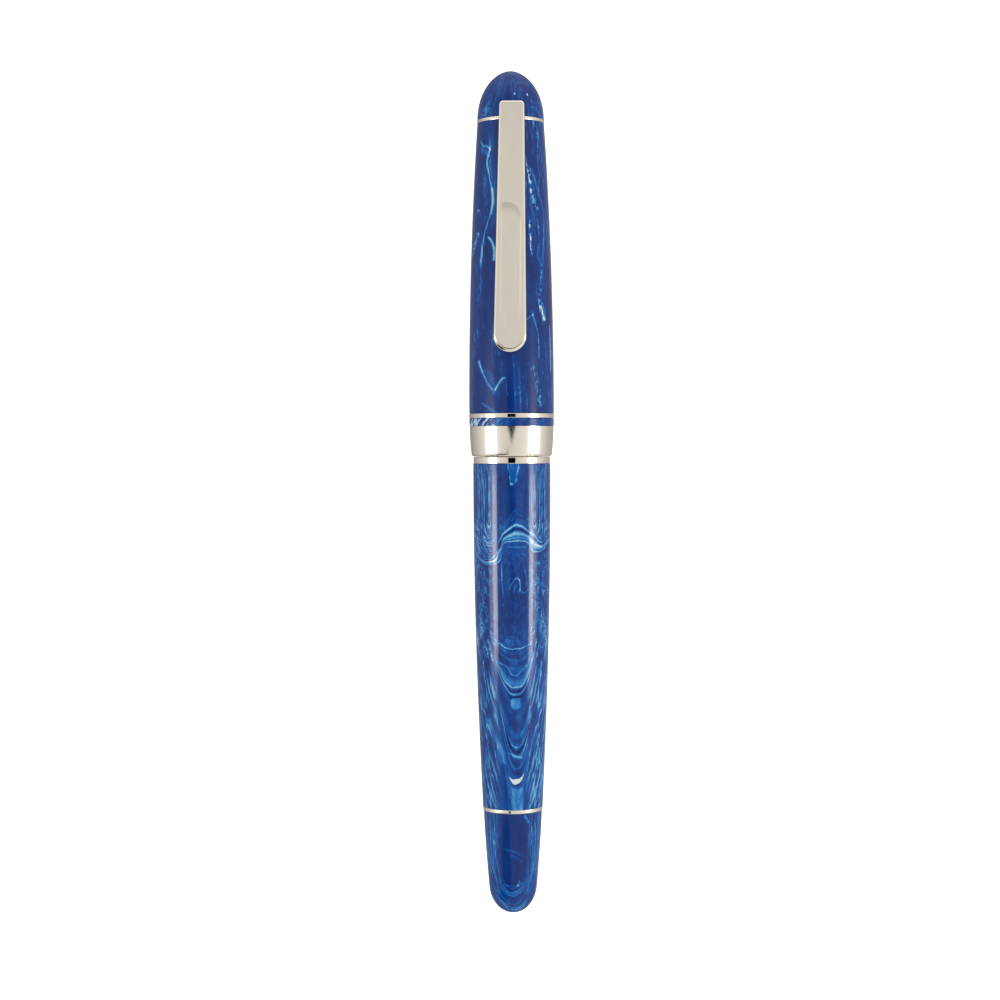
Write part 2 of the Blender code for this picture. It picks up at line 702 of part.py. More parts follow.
def make_piston(axis):
    """The rubber plunger with two wiping ribs, and its threaded rod."""
    rear = PISTON_FRONT_Y - PISTON_LENGTH
    groove = 0.35
    outline = [(0.0, PISTON_FRONT_Y), (PISTON_RADIUS - 0.8, PISTON_FRONT_Y), (PISTON_RADIUS, PISTON_FRONT_Y - 0.4)]
    outline += [
        (PISTON_RADIUS, PISTON_FRONT_Y - 1.1),
        (PISTON_RADIUS - groove, PISTON_FRONT_Y - 1.4),
        (PISTON_RADIUS - groove, rear + 1.1),
        (PISTON_RADIUS, rear + 0.8),
        (PISTON_RADIUS, rear),
        (0.0, rear),
    ]
    turned("piston_seal", outline, "rubber", axis, INNER_SIDES)
    top = rear - FIT
    outline = [(0.0, top), (ROD_RADIUS + 0.5, top), (ROD_RADIUS + 0.5, top - 0.8), (ROD_RADIUS, top - 0.8),
               (ROD_RADIUS, ROD_END_Y + 0.3), (ROD_RADIUS - 0.3, ROD_END_Y), (0.0, ROD_END_Y)]
    turned("piston_rod", outline, "black_plastic", axis, INNER_SIDES)


# ---------------------------------------------------------------- assembly

def add_empty(name, location):
    empty = bpy.data.objects.new(name, None)
    PEN.objects.link(empty)
    empty.location = location
    return empty


def build_pen():
    axis = add_empty("pen_axis", (0.0, 0.0, AXIS_HEIGHT * MM))
    axis.rotation_euler = (-math.pi / 2, 0.0, 0.0)
    turn = add_empty("pen_turn", (0.0, 0.0, 0.0))
    turn.parent = axis
    turn.rotation_euler = (0.0, 0.0, math.pi / ROUND_SIDES)
    pivot = add_empty("clip_pivot", (0.0, CLIP_RING_Y * MM, (AXIS_HEIGHT + CLIP_PIVOT_HEIGHT) * MM))
    make_cap_body(turn)
    make_cap_rings(turn)
    make_finial(turn)
    make_clip_ring(axis)
    make_inner_cap(turn)
    make_clip(pivot)
    make_section(turn)
    make_nib_housing(turn)
    make_feed(turn)
    make_nib(axis)
    make_barrel(turn)
    make_barrel_bush(turn)
    make_barrel_end(turn)
    make_converter_tube(turn)
    make_converter_sleeve(turn)
    make_converter_drive(turn)
    make_piston(turn)
    bpy.context.view_layer.update()


clear_scene()
PEN = new_collection("fountain_pen")
CUTTERS = new_collection("cutters")
build_pen()
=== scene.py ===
"""Looks of a capped fountain pen of marbled blue resin with polished warm-silver trim.

The pen's axis runs along Y, the cap end towards +Y, at AXIS above the table.
Sizes are in millimetres. A turned outline is a list of (radius, y) points about the pen's axis.
Angles about the axis are in radians from straight up, positive towards +X.
"""

import json
import math
from functools import partialmethod

import bmesh
import bpy
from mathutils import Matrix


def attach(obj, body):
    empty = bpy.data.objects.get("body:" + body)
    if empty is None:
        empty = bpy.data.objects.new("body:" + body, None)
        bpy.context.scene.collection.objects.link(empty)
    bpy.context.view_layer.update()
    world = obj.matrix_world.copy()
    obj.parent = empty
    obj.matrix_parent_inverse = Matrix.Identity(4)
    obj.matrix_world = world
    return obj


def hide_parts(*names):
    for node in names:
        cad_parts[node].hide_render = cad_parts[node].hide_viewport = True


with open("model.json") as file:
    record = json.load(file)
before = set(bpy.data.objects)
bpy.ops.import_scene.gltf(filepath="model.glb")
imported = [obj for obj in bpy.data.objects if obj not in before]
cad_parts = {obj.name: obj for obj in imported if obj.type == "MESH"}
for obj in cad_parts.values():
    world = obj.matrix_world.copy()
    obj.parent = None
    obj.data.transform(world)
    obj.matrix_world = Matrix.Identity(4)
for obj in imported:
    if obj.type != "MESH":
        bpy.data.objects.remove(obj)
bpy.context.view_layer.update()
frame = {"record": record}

MM = 0.001
AXIS = 7.026
SIDES = 192
SHARP = math.radians(38)

# Places along the pen, in y
TIP_Y = 69.75
TAIL_Y = -69.75
DOME_BASE = 61.52
CLIP_RING_Y = 60.95
CAP_BODY_Y = 12.95
TRIM_TOP = 12.93
TRIM_LOW = 12.17
SPACER_LOW = 10.85
BAND_TOP = 10.83
CAP_LIP = 5.87
LINER_MOUTH = 35.6
LINER_END = 58.6
BARREL_RING_FRONT = 5.8
BARREL_RING_REAR = 4.66
BARREL_END = -52.02
END_RING_REAR = -52.65

# Radii
CAP_RADIUS = 7.04
CAP_TOP_RADIUS = 5.54
CAP_SWELL = 2.1
TENON_RADIUS = 6.15
CAP_BORE = 5.75
LINER_BORE = 4.75
STUD_BORE = 1.9
BARREL_RADIUS = 6.41
BARREL_END_RADIUS = 4.95

# Clip
CLIP_TOP = 63.7
CLIP_LOW = 22.75
CLIP_TOP_HALF = 2.04
CLIP_LOW_HALF = 2.66
CLIP_CORNER = 0.65
CLIP_TOP_FACE = 7.5
CLIP_LOW_FACE = 9.0
CLIP_THICK = 1.2
CLIP_EDGE = 0.36
CLIP_LOW_EDGE = 0.62             # the edge's round is wider at the low end
CLIP_LEAN = 0.011                # the bar stands a little askew on its leg
CLIP_SIDE = 0.6                  # width of the finely divided strip at each side of the bar

# Threads: how far each moves in a turn, and its pitch
CAP_LEAD = 3.0                   # three starts, 1 mm apart
BARREL_PITCH = 1.25
ROD_LEAD = 2.5                   # two starts
ROD_PITCH = 1.25

# Nib and feed
NIB_REAR = 24.0
NIB_SHOULDER = 39.5
NIB_LENGTH = 31.3
NIB_ROLL = 2.5                   # inner radius of the rolled sheet
NIB_THICK = 0.3
TAPER_START = 37.5
FEED_RADIUS = 2.35
FEED_TAPER = 0.0815

BODY_OF = {node: body
           for body, nodes in frame["record"]["behaviour"]["bodies"].items()
           for node in nodes}


# ---- meshes

def place(name, data):
    """A new object in the scene."""
    thing = bpy.data.objects.new(name, data)
    bpy.context.scene.collection.objects.link(thing)
    return thing


def curve(start, handle_a, handle_b, end, count):
    """Points on a cubic curve, both ends included."""
    points = []
    for i in range(count + 1):
        t = i / count
        s = 1.0 - t
        weights = (s ** 3, 3 * s * s * t, 3 * s * t * t, t ** 3)
        corners = (start, handle_a, handle_b, end)
        points.append(tuple(sum(w * c[k] for w, c in zip(weights, corners)) for k in (0, 1)))
    return points


def round_corner(before, corner, after, size, steps=4):
    """Points that replace one corner of an outline with a round, and keep the flats beside it flat."""
    ends = []
    flats = []
    for other in (before, after):
        step = (other[0] - corner[0], other[1] - corner[1])
        length = math.hypot(*step)
        share = min(size, 0.5 * length) / length
        ends.append((corner[0] + step[0] * share, corner[1] + step[1] * share))
        share = min(0.5, share * 1.2)
        flats.append((corner[0] + step[0] * share, corner[1] + step[1] * share))
    points = [flats[0]]
    for i in range(steps + 1):
        t = i / steps
        weights = ((1 - t) ** 2, 2 * t * (1 - t), t * t)
        points.append(tuple(weights[0] * ends[0][k] + weights[1] * corner[k] + weights[2] * ends[1][k]
                            for k in (0, 1)))
    return points + [flats[1]]


def softened(outline, size=0.08):
    """An outline with a small round on every corner that turns by more than 25 degrees."""
    count = len(outline)
    closed = outline[0][0] > 1e-6
    result = []
    for i, corner in enumerate(outline):
        if not closed and i in (0, count - 1):
            result.append(corner)
            continue
        before, after = outline[i - 1], outline[(i + 1) % count]
        turn_in = math.atan2(corner[1] - before[1], corner[0] - before[0])
        turn_out = math.atan2(after[1] - corner[1], after[0] - corner[0])
        bend = abs((turn_out - turn_in + math.pi) % math.tau - math.pi)
        if bend > math.radians(25):
            result += round_corner(before, corner, after, size)
        else:
            result.append(corner)
    return result


def vertex(bm, x, y, height):
    """A new vertex; its height is above the pen's axis."""
    return bm.verts.new((x * MM, y * MM, (AXIS + height) * MM))


def skin(bm, rows):
    """Faces between rows of points, each row as long as the next."""
    for a, b in zip(rows, rows[1:]):
        for i in range(len(a) - 1):
            bm.faces.new((a[i], a[i + 1], b[i + 1], b[i]))


def close_edges(bm, rows, others):
    """Faces between the borders of two skins that lie over each other."""
    a, b = [grid[0] + [r[-1] for r in grid[1:]] + grid[-1][-2::-1] + [r[0] for r in grid[-2:0:-1]]
            for grid in (rows, others)]
    for i in range(len(a)):
        j = (i + 1) % len(a)
        bm.faces.new((a[i], a[j], b[j], b[i]))


def finish_mesh(bm, name):
    """The welded mesh, smooth except where it turns by more than SHARP."""
    bmesh.ops.remove_doubles(bm, verts=bm.verts, dist=1e-8)
    bmesh.ops.recalc_face_normals(bm, faces=bm.faces)
    mesh = bpy.data.meshes.new(name)
    bm.to_mesh(mesh)
    bm.free()
    mesh.shade_smooth()
    mesh.set_sharp_from_angle(angle=SHARP)
    return mesh


def lathe(name, outline, sides=SIDES, swell=None):
    """A turned mesh. swell(y, angle, radius) adds to the radius, for threads and flutes."""
    bm = bmesh.new()
    rings = []
    for radius, y in outline:
        ring = []
        for i in range(sides):
            angle = math.tau * i / sides
            r = radius + (swell(y, angle, radius) if swell else 0.0)
            ring.append(vertex(bm, r * math.sin(angle), y, r * math.cos(angle)))
            if radius < 1e-6:
                break
        rings.append(ring)
    pairs = list(zip(rings, rings[1:]))
    if outline[0][0] > 1e-6:
        pairs.append((rings[-1], rings[0]))
    for a, b in pairs:
        for i in range(sides):
            corners = [a[i % len(a)], a[(i + 1) % len(a)], b[(i + 1) % len(b)], b[i % len(b)]]
            corners = list(dict.fromkeys(corners))
            if len(corners) > 2:
                bm.faces.new(corners)
    return finish_mesh(bm, name)


def cut(mesh, tools, operation="DIFFERENCE"):
    """The mesh with tool meshes cut from it or added to it."""
    stand_in = place("stand_in", mesh)
    helpers = [place("helper", tool) for tool in tools]
    for helper in helpers:
        step = stand_in.modifiers.new("cut", "BOOLEAN")
        step.operation = operation
        step.solver = "EXACT"
        step.object = helper
    bpy.context.view_layer.update()
    evaluated = stand_in.evaluated_get(bpy.context.evaluated_depsgraph_get())
    result = bpy.data.meshes.new_from_object(evaluated)
    for helper in [stand_in, *helpers]:
        bpy.data.objects.remove(helper)
    result.name = mesh.name
    result.shade_smooth()
    result.set_sharp_from_angle(angle=SHARP)
    return result


def block(name, low, high, edge=0.15):
    """A box with rounded edges; heights are above the pen's axis."""
    bm = bmesh.new()
    bmesh.ops.create_cube(bm, size=1.0)
    for vert in bm.verts:
        for i in range(3):
            vert.co[i] = (high[i] if vert.co[i] > 0 else low[i]) * MM
        vert.co.z += AXIS * MM
    bmesh.ops.bevel(bm, geom=bm.edges[:], offset=edge * MM, segments=4, profile=0.5, affect="EDGES")
    return finish_mesh(bm, name)


def show(node, mesh, material):
    """Put a fine piece in the place of the CAD node that it stands for."""
    piece = place(node + "_fine", mesh)
    mesh.materials.clear()
    mesh.materials.append(material)
    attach(piece, BODY_OF[node])
    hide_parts(node)


def turned(node, outline, material, soft=0.1, sides=SIDES, swell=None):
    """Show a turned piece in the place of its CAD node, with its corners softened."""
    show(node, lathe(node, softened(outline, soft), sides, swell), material)


# ---- node arithmetic

def add_node(tree, kind, **inputs):
    """A new shader node with its inputs linked or set; From_Min stands for the input From Min."""
    node = tree.nodes.new("ShaderNode" + kind)
    for name, value in inputs.items():
        put(tree, value, node.inputs[name.replace("_", " ")])
    return node


class Field:
    """A number at each point of a surface. Arithmetic on it adds math nodes to its material."""

    def __init__(self, tree, socket):
        self.tree = tree
        self.socket = socket

    def math(self, operation, *others, clamp=False):
        node = add_node(self.tree, "Math")
        node.operation = operation
        node.use_clamp = clamp
        for slot, value in zip(node.inputs, (self, *others)):
            put(self.tree, value, slot)
        return Field(self.tree, node.outputs[0])

    __add__ = partialmethod(math, "ADD")
    __sub__ = partialmethod(math, "SUBTRACT")
    __mul__ = partialmethod(math, "MULTIPLY")
    __truediv__ = partialmethod(math, "DIVIDE")
    __neg__ = partialmethod(math, "MULTIPLY", -1.0)
    __pow__ = partialmethod(math, "POWER")
    size = partialmethod(math, "ABSOLUTE")
    clamp = partialmethod(math, "ADD", 0.0, clamp=True)
    most = partialmethod(math, "MAXIMUM")
    least = partialmethod(math, "MINIMUM")

    def step(self, low, high):
        """0 up to low, 1 from high on, and smooth between; low may be above high."""
        ends = {"To_Min": 1.0, "To_Max": 0.0} if low > high else {}
        node = add_node(self.tree, "MapRange", Value=self, From_Min=min(low, high),
                        From_Max=max(low, high), **ends)
        node.interpolation_type = "SMOOTHSTEP"
        return Field(self.tree, node.outputs["Result"])

    def bump(self, centre, half_width):
        """1 at the centre, and 0 from half_width away from it."""
        return (self - centre).size().step(half_width, 0.0)

    def between(self, low, high, soft):
        """1 from low to high, with soft edges outside."""
        return self.step(low - soft, low) * self.step(high + soft, high)


def put(tree, value, slot):
    """Link a field or a socket to an input, or set the input to a plain value."""
    if isinstance(value, Field):
        tree.links.new(value.socket, slot)
    elif isinstance(value, bpy.types.NodeSocket):
        tree.links.new(value, slot)
    else:
        slot.default_value = value


def combine(x, y, z):
    """A vector from a field and two more fields or numbers."""
    return add_node(x.tree, "CombineXYZ", X=x, Y=y, Z=z).outputs[0]


def split(tree, vector):
    return [Field(tree, out) for out in add_node(tree, "SeparateXYZ", Vector=vector).outputs]


def noise(vector, detail=2.0, roughness=0.5):
    """Smooth noise from about -0.5 to 0.5, with grains of size 1 along its three coordinates."""
    tree = vector[0].tree
    node = add_node(tree, "TexNoise", Vector=combine(*vector), Scale=1.0, Detail=detail,
                    Roughness=roughness)
    return Field(tree, node.outputs["Fac"]) - 0.5


def colour_ramp(tree, value, stops):
    """A colour for each value; stops are (value, linear colour) pairs."""
    node = add_node(tree, "ValToRGB", Fac=value)
    elements = node.color_ramp.elements
    while len(elements) < len(stops):
        elements.new(0.5)
    for element, (position, colour) in zip(elements, stops):
        element.position = position
        element.color = (*colour, 1.0)
    return node.outputs["Color"]


def from_srgb(red, green, blue):
    """A screen colour, 0 to 255, as linear light."""
    def linear(c):
        c /= 255.0
        return c / 12.92 if c <= 0.04045 else ((c + 0.055) / 1.055) ** 2.4
    return tuple(linear(c) for c in (red, green, blue))


class Finish:
    """A material being built, with the place on the pen as fields in millimetres and radians.

    Behind the pen's sides the angle runs back to 0, so that a pattern has no seam underneath.
    """

    def __init__(self, name, seed=0.0):
        self.material = bpy.data.materials.new(name)
        self.material.use_nodes = True
        self.tree = self.material.node_tree
        self.shader = self.tree.nodes["Principled BSDF"]
        x, y, z = split(self.tree, add_node(self.tree, "TexCoord").outputs["Object"])
        self.x = x * 1000.0
        self.y = y * 1000.0
        self.z = z * 1000.0 - AXIS
        self.seed = seed
        turn = self.x.math("ARCTAN2", self.z)
        folded = (-turn.size() + math.pi) * (self.noise(6.0, 7.0, seed=30.0).size() * 0.8 + 0.98)
        self.angle = turn.size().least(folded) * turn.math("SIGN")

    def noise(self, across, along, detail=2.0, roughness=0.5, seed=0.0):
        """Noise whose grains are that many millimetres across and along the pen."""
        x = self.x * (1.0 / across) + (self.seed + seed)
        return noise((x, self.y * (1.0 / along), self.z * (1.0 / across)), detail, roughness)

    def set(self, **inputs):
        for name, value in inputs.items():
            label = name.replace("_", " ").title().replace("Ior", "IOR")
            put(self.tree, value, self.shader.inputs[label])

    def relief(self, height, distance):
        """Fine surface relief; distance is in millimetres."""
        node = add_node(self.tree, "Bump", Height=height, Distance=distance * MM)
        self.tree.links.new(node.outputs["Normal"], self.shader.inputs["Normal"])


# ---- resin

RESIN_COLOURS = [
    (0.00, from_srgb(12, 24, 82)),
    (0.15, from_srgb(10, 40, 106)),
    (0.30, from_srgb(12, 57, 130)),
    (0.45, from_srgb(16, 82, 162)),
    (0.62, from_srgb(44, 126, 194)),
    (0.80, from_srgb(116, 176, 212)),
    (1.00, from_srgb(204, 216, 222)),
]


def resin(name, pattern, seed):
    """Clear glossy resin with pearly pigment; pattern gives how pale it is at each point."""
    finish = Finish(name, seed)
    pale = pattern(finish)
    colour = colour_ramp(finish.tree, pale.clamp(), RESIN_COLOURS)
    finish.set(base_color=colour, roughness=0.1, ior=1.5, specular_ior_level=0.27)
    finish.relief(finish.noise(0.6, 2.5), 0.002)
    return finish.material


def veins(finish, across, along, seed, sharp=0.05, detail=3.0):
    """Fine pale lines that run along one warped coordinate; both are in sizes of a grain."""
    return noise((across + seed, along, finish.seed), detail, 0.6).size().step(sharp, 0.0)


def shades(finish, across, along, seed, detail=2.0):
    """Soft uneven tone, from about -0.5 to 0.5, in the same kind of coordinates."""
    return noise((across + seed, along, finish.seed), detail)


def sum_of_bands(place, bands):
    """Pale and dark bands across a coordinate: (centre, half width, amount) each."""
    total = place * 0.0
    for centre, half_width, amount in bands:
        total = total + place.bump(centre, half_width) * amount
    return total


def course(along, points):
    """A smooth course through (along, value) points, in order of rising along."""
    places = [place for place, _ in points]
    values = [value for _, value in points]
    length = places[-1] - places[0]
    low, span = min(values), max(values) - min(values)
    node = add_node(along.tree, "FloatCurve", Value=(along - places[0]) * (1.0 / length))
    line = node.mapping.curves[0]
    shares = [((place - places[0]) / length, (value - low) / span) for place, value in points]
    for share, height in shares[1:-1]:
        line.points.new(share, height)
    line.points[0].location = shares[0]
    line.points[len(line.points) - 1].location = shares[-1]
    node.mapping.extend = "HORIZONTAL"
    node.mapping.update()
    return Field(along.tree, node.outputs["Value"]) * span + low


def strokes(along, across, marks):
    """Pale wisps: each mark is its course, its half width and its amount."""
    total = along * 0.0
    for points, half_width, amount in marks:
        away = (across - course(along, points)).size()
        length = points[-1][0] - points[0][0]
        reach = along.between(points[0][0], points[-1][0], 0.12 * length)
        total = total + away.step(half_width, half_width * 0.15) * reach * amount
    return total


def barrel_front(finish, angle, y, side, flank, middle, ahead):
    """Streaks that turn round at the troughs of the wavy band, and a drop shape at the mouth."""
    bowl = (((side - 0.62) * 6.3) ** 2.0 + ((-y - 5.0).most(0.0) * 0.45) ** 2.0) ** 0.5
    reach = y.step(-13.0, -8.0) * ahead
    lines = veins(finish, bowl * 1.7, y * 0.07, 9.0, 0.035) * 0.42
    tones = shades(finish, bowl * 1.4, y * 0.08, 4.0) * 0.34
    chevrons = veins(finish, bowl * 1.3 - y * 1.1, side * 3.0, 15.0, 0.075)
    chevrons = chevrons * y.between(-10.8, -5.5, 1.5) * flank * ahead
    faint = shades(finish, angle * 9.0, y * 0.13, 12.0) * 0.3 * middle
    edge = (angle - 0.035 + finish.noise(0.8, 1.2, seed=8.0) * 0.07).size() - (y * 0.023 + 0.04)
    inside = edge.step(0.015, -0.02) * y.step(0.7, 1.3)
    ragged = finish.noise(0.5, 0.9, seed=14.0).step(-0.2, 0.08)
    outline = (edge.bump(0.0, 0.03) * y.step(0.7, 1.5) + inside * y.bump(1.3, 0.4)) * ragged
    streaks = (lines + tones) * reach * (flank * 0.85 + 0.15)
    return streaks + chevrons * 0.3 + faint * reach + inside * 0.2 + outline * 0.36


def barrel_wave(finish, angle, y):
    """The bright band that waves round the barrel, as marbling in shares of its own thickness."""
    low = course(angle, [
        (-1.5, -9.0), (-1.25, -9.8), (-1.0, -11.2), (-0.76, -11.8), (-0.5, -11.8), (-0.38, -11.6),
        (-0.31, -11.2), (-0.27, -10.2), (-0.24, -8.9), (-0.19, -8.3), (-0.04, -8.1), (0.2, -8.0),
        (0.38, -8.1), (0.46, -8.5), (0.55, -9.6), (0.68, -9.9), (0.84, -9.7), (1.16, -8.5),
        (1.5, -7.6),
    ])
    top = course(angle, [
        (-1.5, -8.4), (-1.25, -9.2), (-1.0, -10.4), (-0.78, -10.9), (-0.6, -10.7), (-0.46, -10.1),
        (-0.40, -9.3), (-0.37, -7.7), (-0.32, -7.1), (-0.24, -6.5), (-0.13, -5.9), (-0.02, -5.3),
        (0.12, -4.9), (0.22, -5.1), (0.34, -5.6), (0.55, -6.3), (0.66, -6.8), (0.76, -7.7),
        (0.88, -7.9), (1.03, -7.7), (1.5, -6.5),
    ])
    share = (y - low) / (top - low)
    crest = angle.between(-0.2, 0.32, 0.14)
    fray = veins(finish, share * 2.4, angle * 4.0, 21.0, 0.2)
    pale = sum_of_bands(share, [
        (0.04, 0.06, 0.26), (0.14, 0.05, -0.12), (0.22, 0.05, 0.10), (0.30, 0.04, -0.08),
        (0.42, 0.13, 0.24), (0.64, 0.12, -0.16), (0.84, 0.13, 0.36),
    ])
    body = share.between(0.04, 0.54, 0.05) * 0.28 + share.bump(0.9, 0.14) * crest * 0.24
    wedge = angle.between(0.5, 0.86, 0.06) + angle.between(-0.62, -0.4, 0.06)
    wedge = wedge * share.between(0.3, 1.0, 0.1)
    fans = veins(finish, share * 3.0, angle * 2.0, 45.0, 0.08) * share.between(1.1, 1.6, 0.3)
    fans = fans * angle.between(-0.3, 0.4, 0.1)
    arc = (share + 0.3).bump(0.0, 0.07) * angle.between(-0.05, 0.34, 0.1) * 0.2
    return pale + body + wedge * (fray * 0.24 + 0.02) + fans * 0.2 + arc, share


def barrel_rear(finish, angle, y, side, flank):
    """Nested U shapes that deepen towards the end, with steep streaks beside them."""
    reach = y.step(-20.0, -25.0)
    aside = y.step(-28.0, -38.0) * 0.06 + 0.07
    bow = ((angle - aside).size() * (1.0 / 0.44)) ** 2.4
    guess = y - bow * ((-y - 24.0) * 0.34 + 0.5).most(0.3)
    nest = y - bow * ((-guess - 24.0) * 0.34 + 0.5).most(0.3)
    patches = shades(finish, angle * 3.4, nest * 0.4, 41.0) * 0.6
    bands = sum_of_bands(nest, [
        (-25.6, 0.17, 0.40), (-26.4, 0.12, 0.10), (-26.9, 0.5, -0.10), (-27.4, 0.14, 0.12),
        (-28.3, 0.5, -0.06), (-31.2, 1.3, 0.24), (-31.9, 0.30, 0.34), (-32.5, 0.24, -0.20),
        (-33.0, 0.28, 0.42), (-33.5, 0.18, -0.26), (-37.6, 1.6, -0.08), (-39.8, 0.9, 0.12),
        (-41.2, 0.3, 0.10), (-41.7, 0.34, 0.30), (-42.5, 0.5, -0.28), (-43.3, 0.6, 0.28),
        (-44.3, 0.4, -0.12), (-45.1, 0.25, 0.22), (-46.0, 0.5, -0.16),
    ])
    marks = strokes(angle, y, [
        ([(-0.33, -27.8), (-0.14, -28.5), (0.06, -29.9), (0.24, -29.1), (0.38, -28.2)], 0.22, 0.26),
        ([(-0.06, -33.45), (0.25, -33.35)], 0.16, -0.34),
        ([(-0.11, -42.7), (0.06, -43.1), (0.30, -43.4)], 0.3, 0.2),
    ]) + strokes(y, angle, [
        ([(-44.0, -0.30), (-42.2, -0.36), (-40.2, -0.54), (-37.4, -0.76)], 0.15, 0.24),
    ])
    blob = ((((angle - 0.10) * 6.6).size() ** 2.6) + ((y + 34.4).size() ** 2.6)).step(1.3, 0.6) * 0.28
    tilted = y - angle * 1.4 + 0.17
    crescent = (tilted + 47.85 - bow * 7.2).step(-0.06, 0.1)
    crescent = crescent * (-tilted - 46.95 + bow * 3.6).step(-0.06, 0.1)
    column = (angle - 0.16).size().step(0.26, 0.12) * y.step(-47.8, -48.8) * 0.3
    lean = side - y * 0.045
    steep = veins(finish, lean * 6.0, y * 0.09, 33.0) * 0.42
    steep = steep + shades(finish, lean * 5.0, y * 0.1, 37.0) * 0.5
    centre = (patches + bands + 0.08) * side.step(0.76, 0.4) + marks + blob + column
    return (centre + steep * flank) * reach + crescent * 0.95 * side.step(0.5, 0.4)


def barrel_pattern(finish):
    """A wavy bright band near the front, nested U shapes behind it, fine marbling on the sides and
    painted highlight haze on the right.
    """
    drift = finish.noise(2.6, 5.0, seed=1.0)
    jitter = finish.noise(0.7, 1.3, seed=2.0)
    angle = finish.angle + drift * 0.05 + jitter * 0.02
    y = finish.y + finish.noise(2.2, 4.0, seed=3.0) * 0.6 + jitter * 0.3
    side = angle.size()
    middle = side.step(0.5, 0.3)
    flank = side.step(0.36, 0.6)
    tone = shades(finish, angle * 4.0, y * 0.2, 5.0) * 0.4 + finish.noise(0.25, 0.5, 3.0, 0.65) * 0.2
    tone = tone + 0.27 - middle * finish.y.between(-22.0, -11.0, 3.0) * 0.05
    # Painted highlight: the right flank behind the band is made paler to stand in for the haze of the
    # right strip lamp's reflection.
    tone = tone + angle.step(0.4, 0.8) * finish.y.step(-9.0, -14.0) * 0.08
    wave, share = barrel_wave(finish, angle, y)
    behind = share.step(-0.2, -0.6) * y.step(-32.0, -24.0)
    glow = share.between(-0.9, -0.05, 0.9) * share.step(0.1, -0.05) * middle * 0.1
    flecks = veins(finish, side * 9.0 - y * 0.5, y * 0.6 + side * 3.0, 27.0, 0.07, 4.0)
    flecks = flecks * finish.noise(1.1, 2.2, seed=18.0).step(-0.18, 0.12) * 0.46 - 0.06
    ghosts = veins(finish, angle * 5.0, y * 0.35, 51.0) * middle * 0.12
    curls = strokes(y, angle, [
        ([(-17.0, -0.25), (-14.0, -0.26), (-11.8, -0.28)], 0.03, 0.3),
        ([(-15.9, 0.43), (-14.2, 0.38), (-12.8, 0.34)], 0.04, 0.26),
        ([(-16.2, 0.16), (-15.4, 0.21), (-14.3, 0.18)], 0.025, 0.34),
        ([(-16.2, 0.04), (-15.0, 0.10)], 0.03, 0.26),
    ]) + strokes(angle, y, [
        ([(-0.08, -15.7), (0.04, -14.6), (0.13, -14.1), (0.19, -14.4)], 0.2, 0.34),
        ([(0.20, -15.8), (0.31, -16.3), (0.42, -15.9)], 0.2, 0.3),
    ])
    pale = tone + wave + glow + flecks * flank * behind + (ghosts + curls) * behind
    pale = pale + barrel_front(finish, angle, y, side, flank, middle, share.step(0.9, 1.2))
    return pale + barrel_rear(finish, angle, y, side, flank)


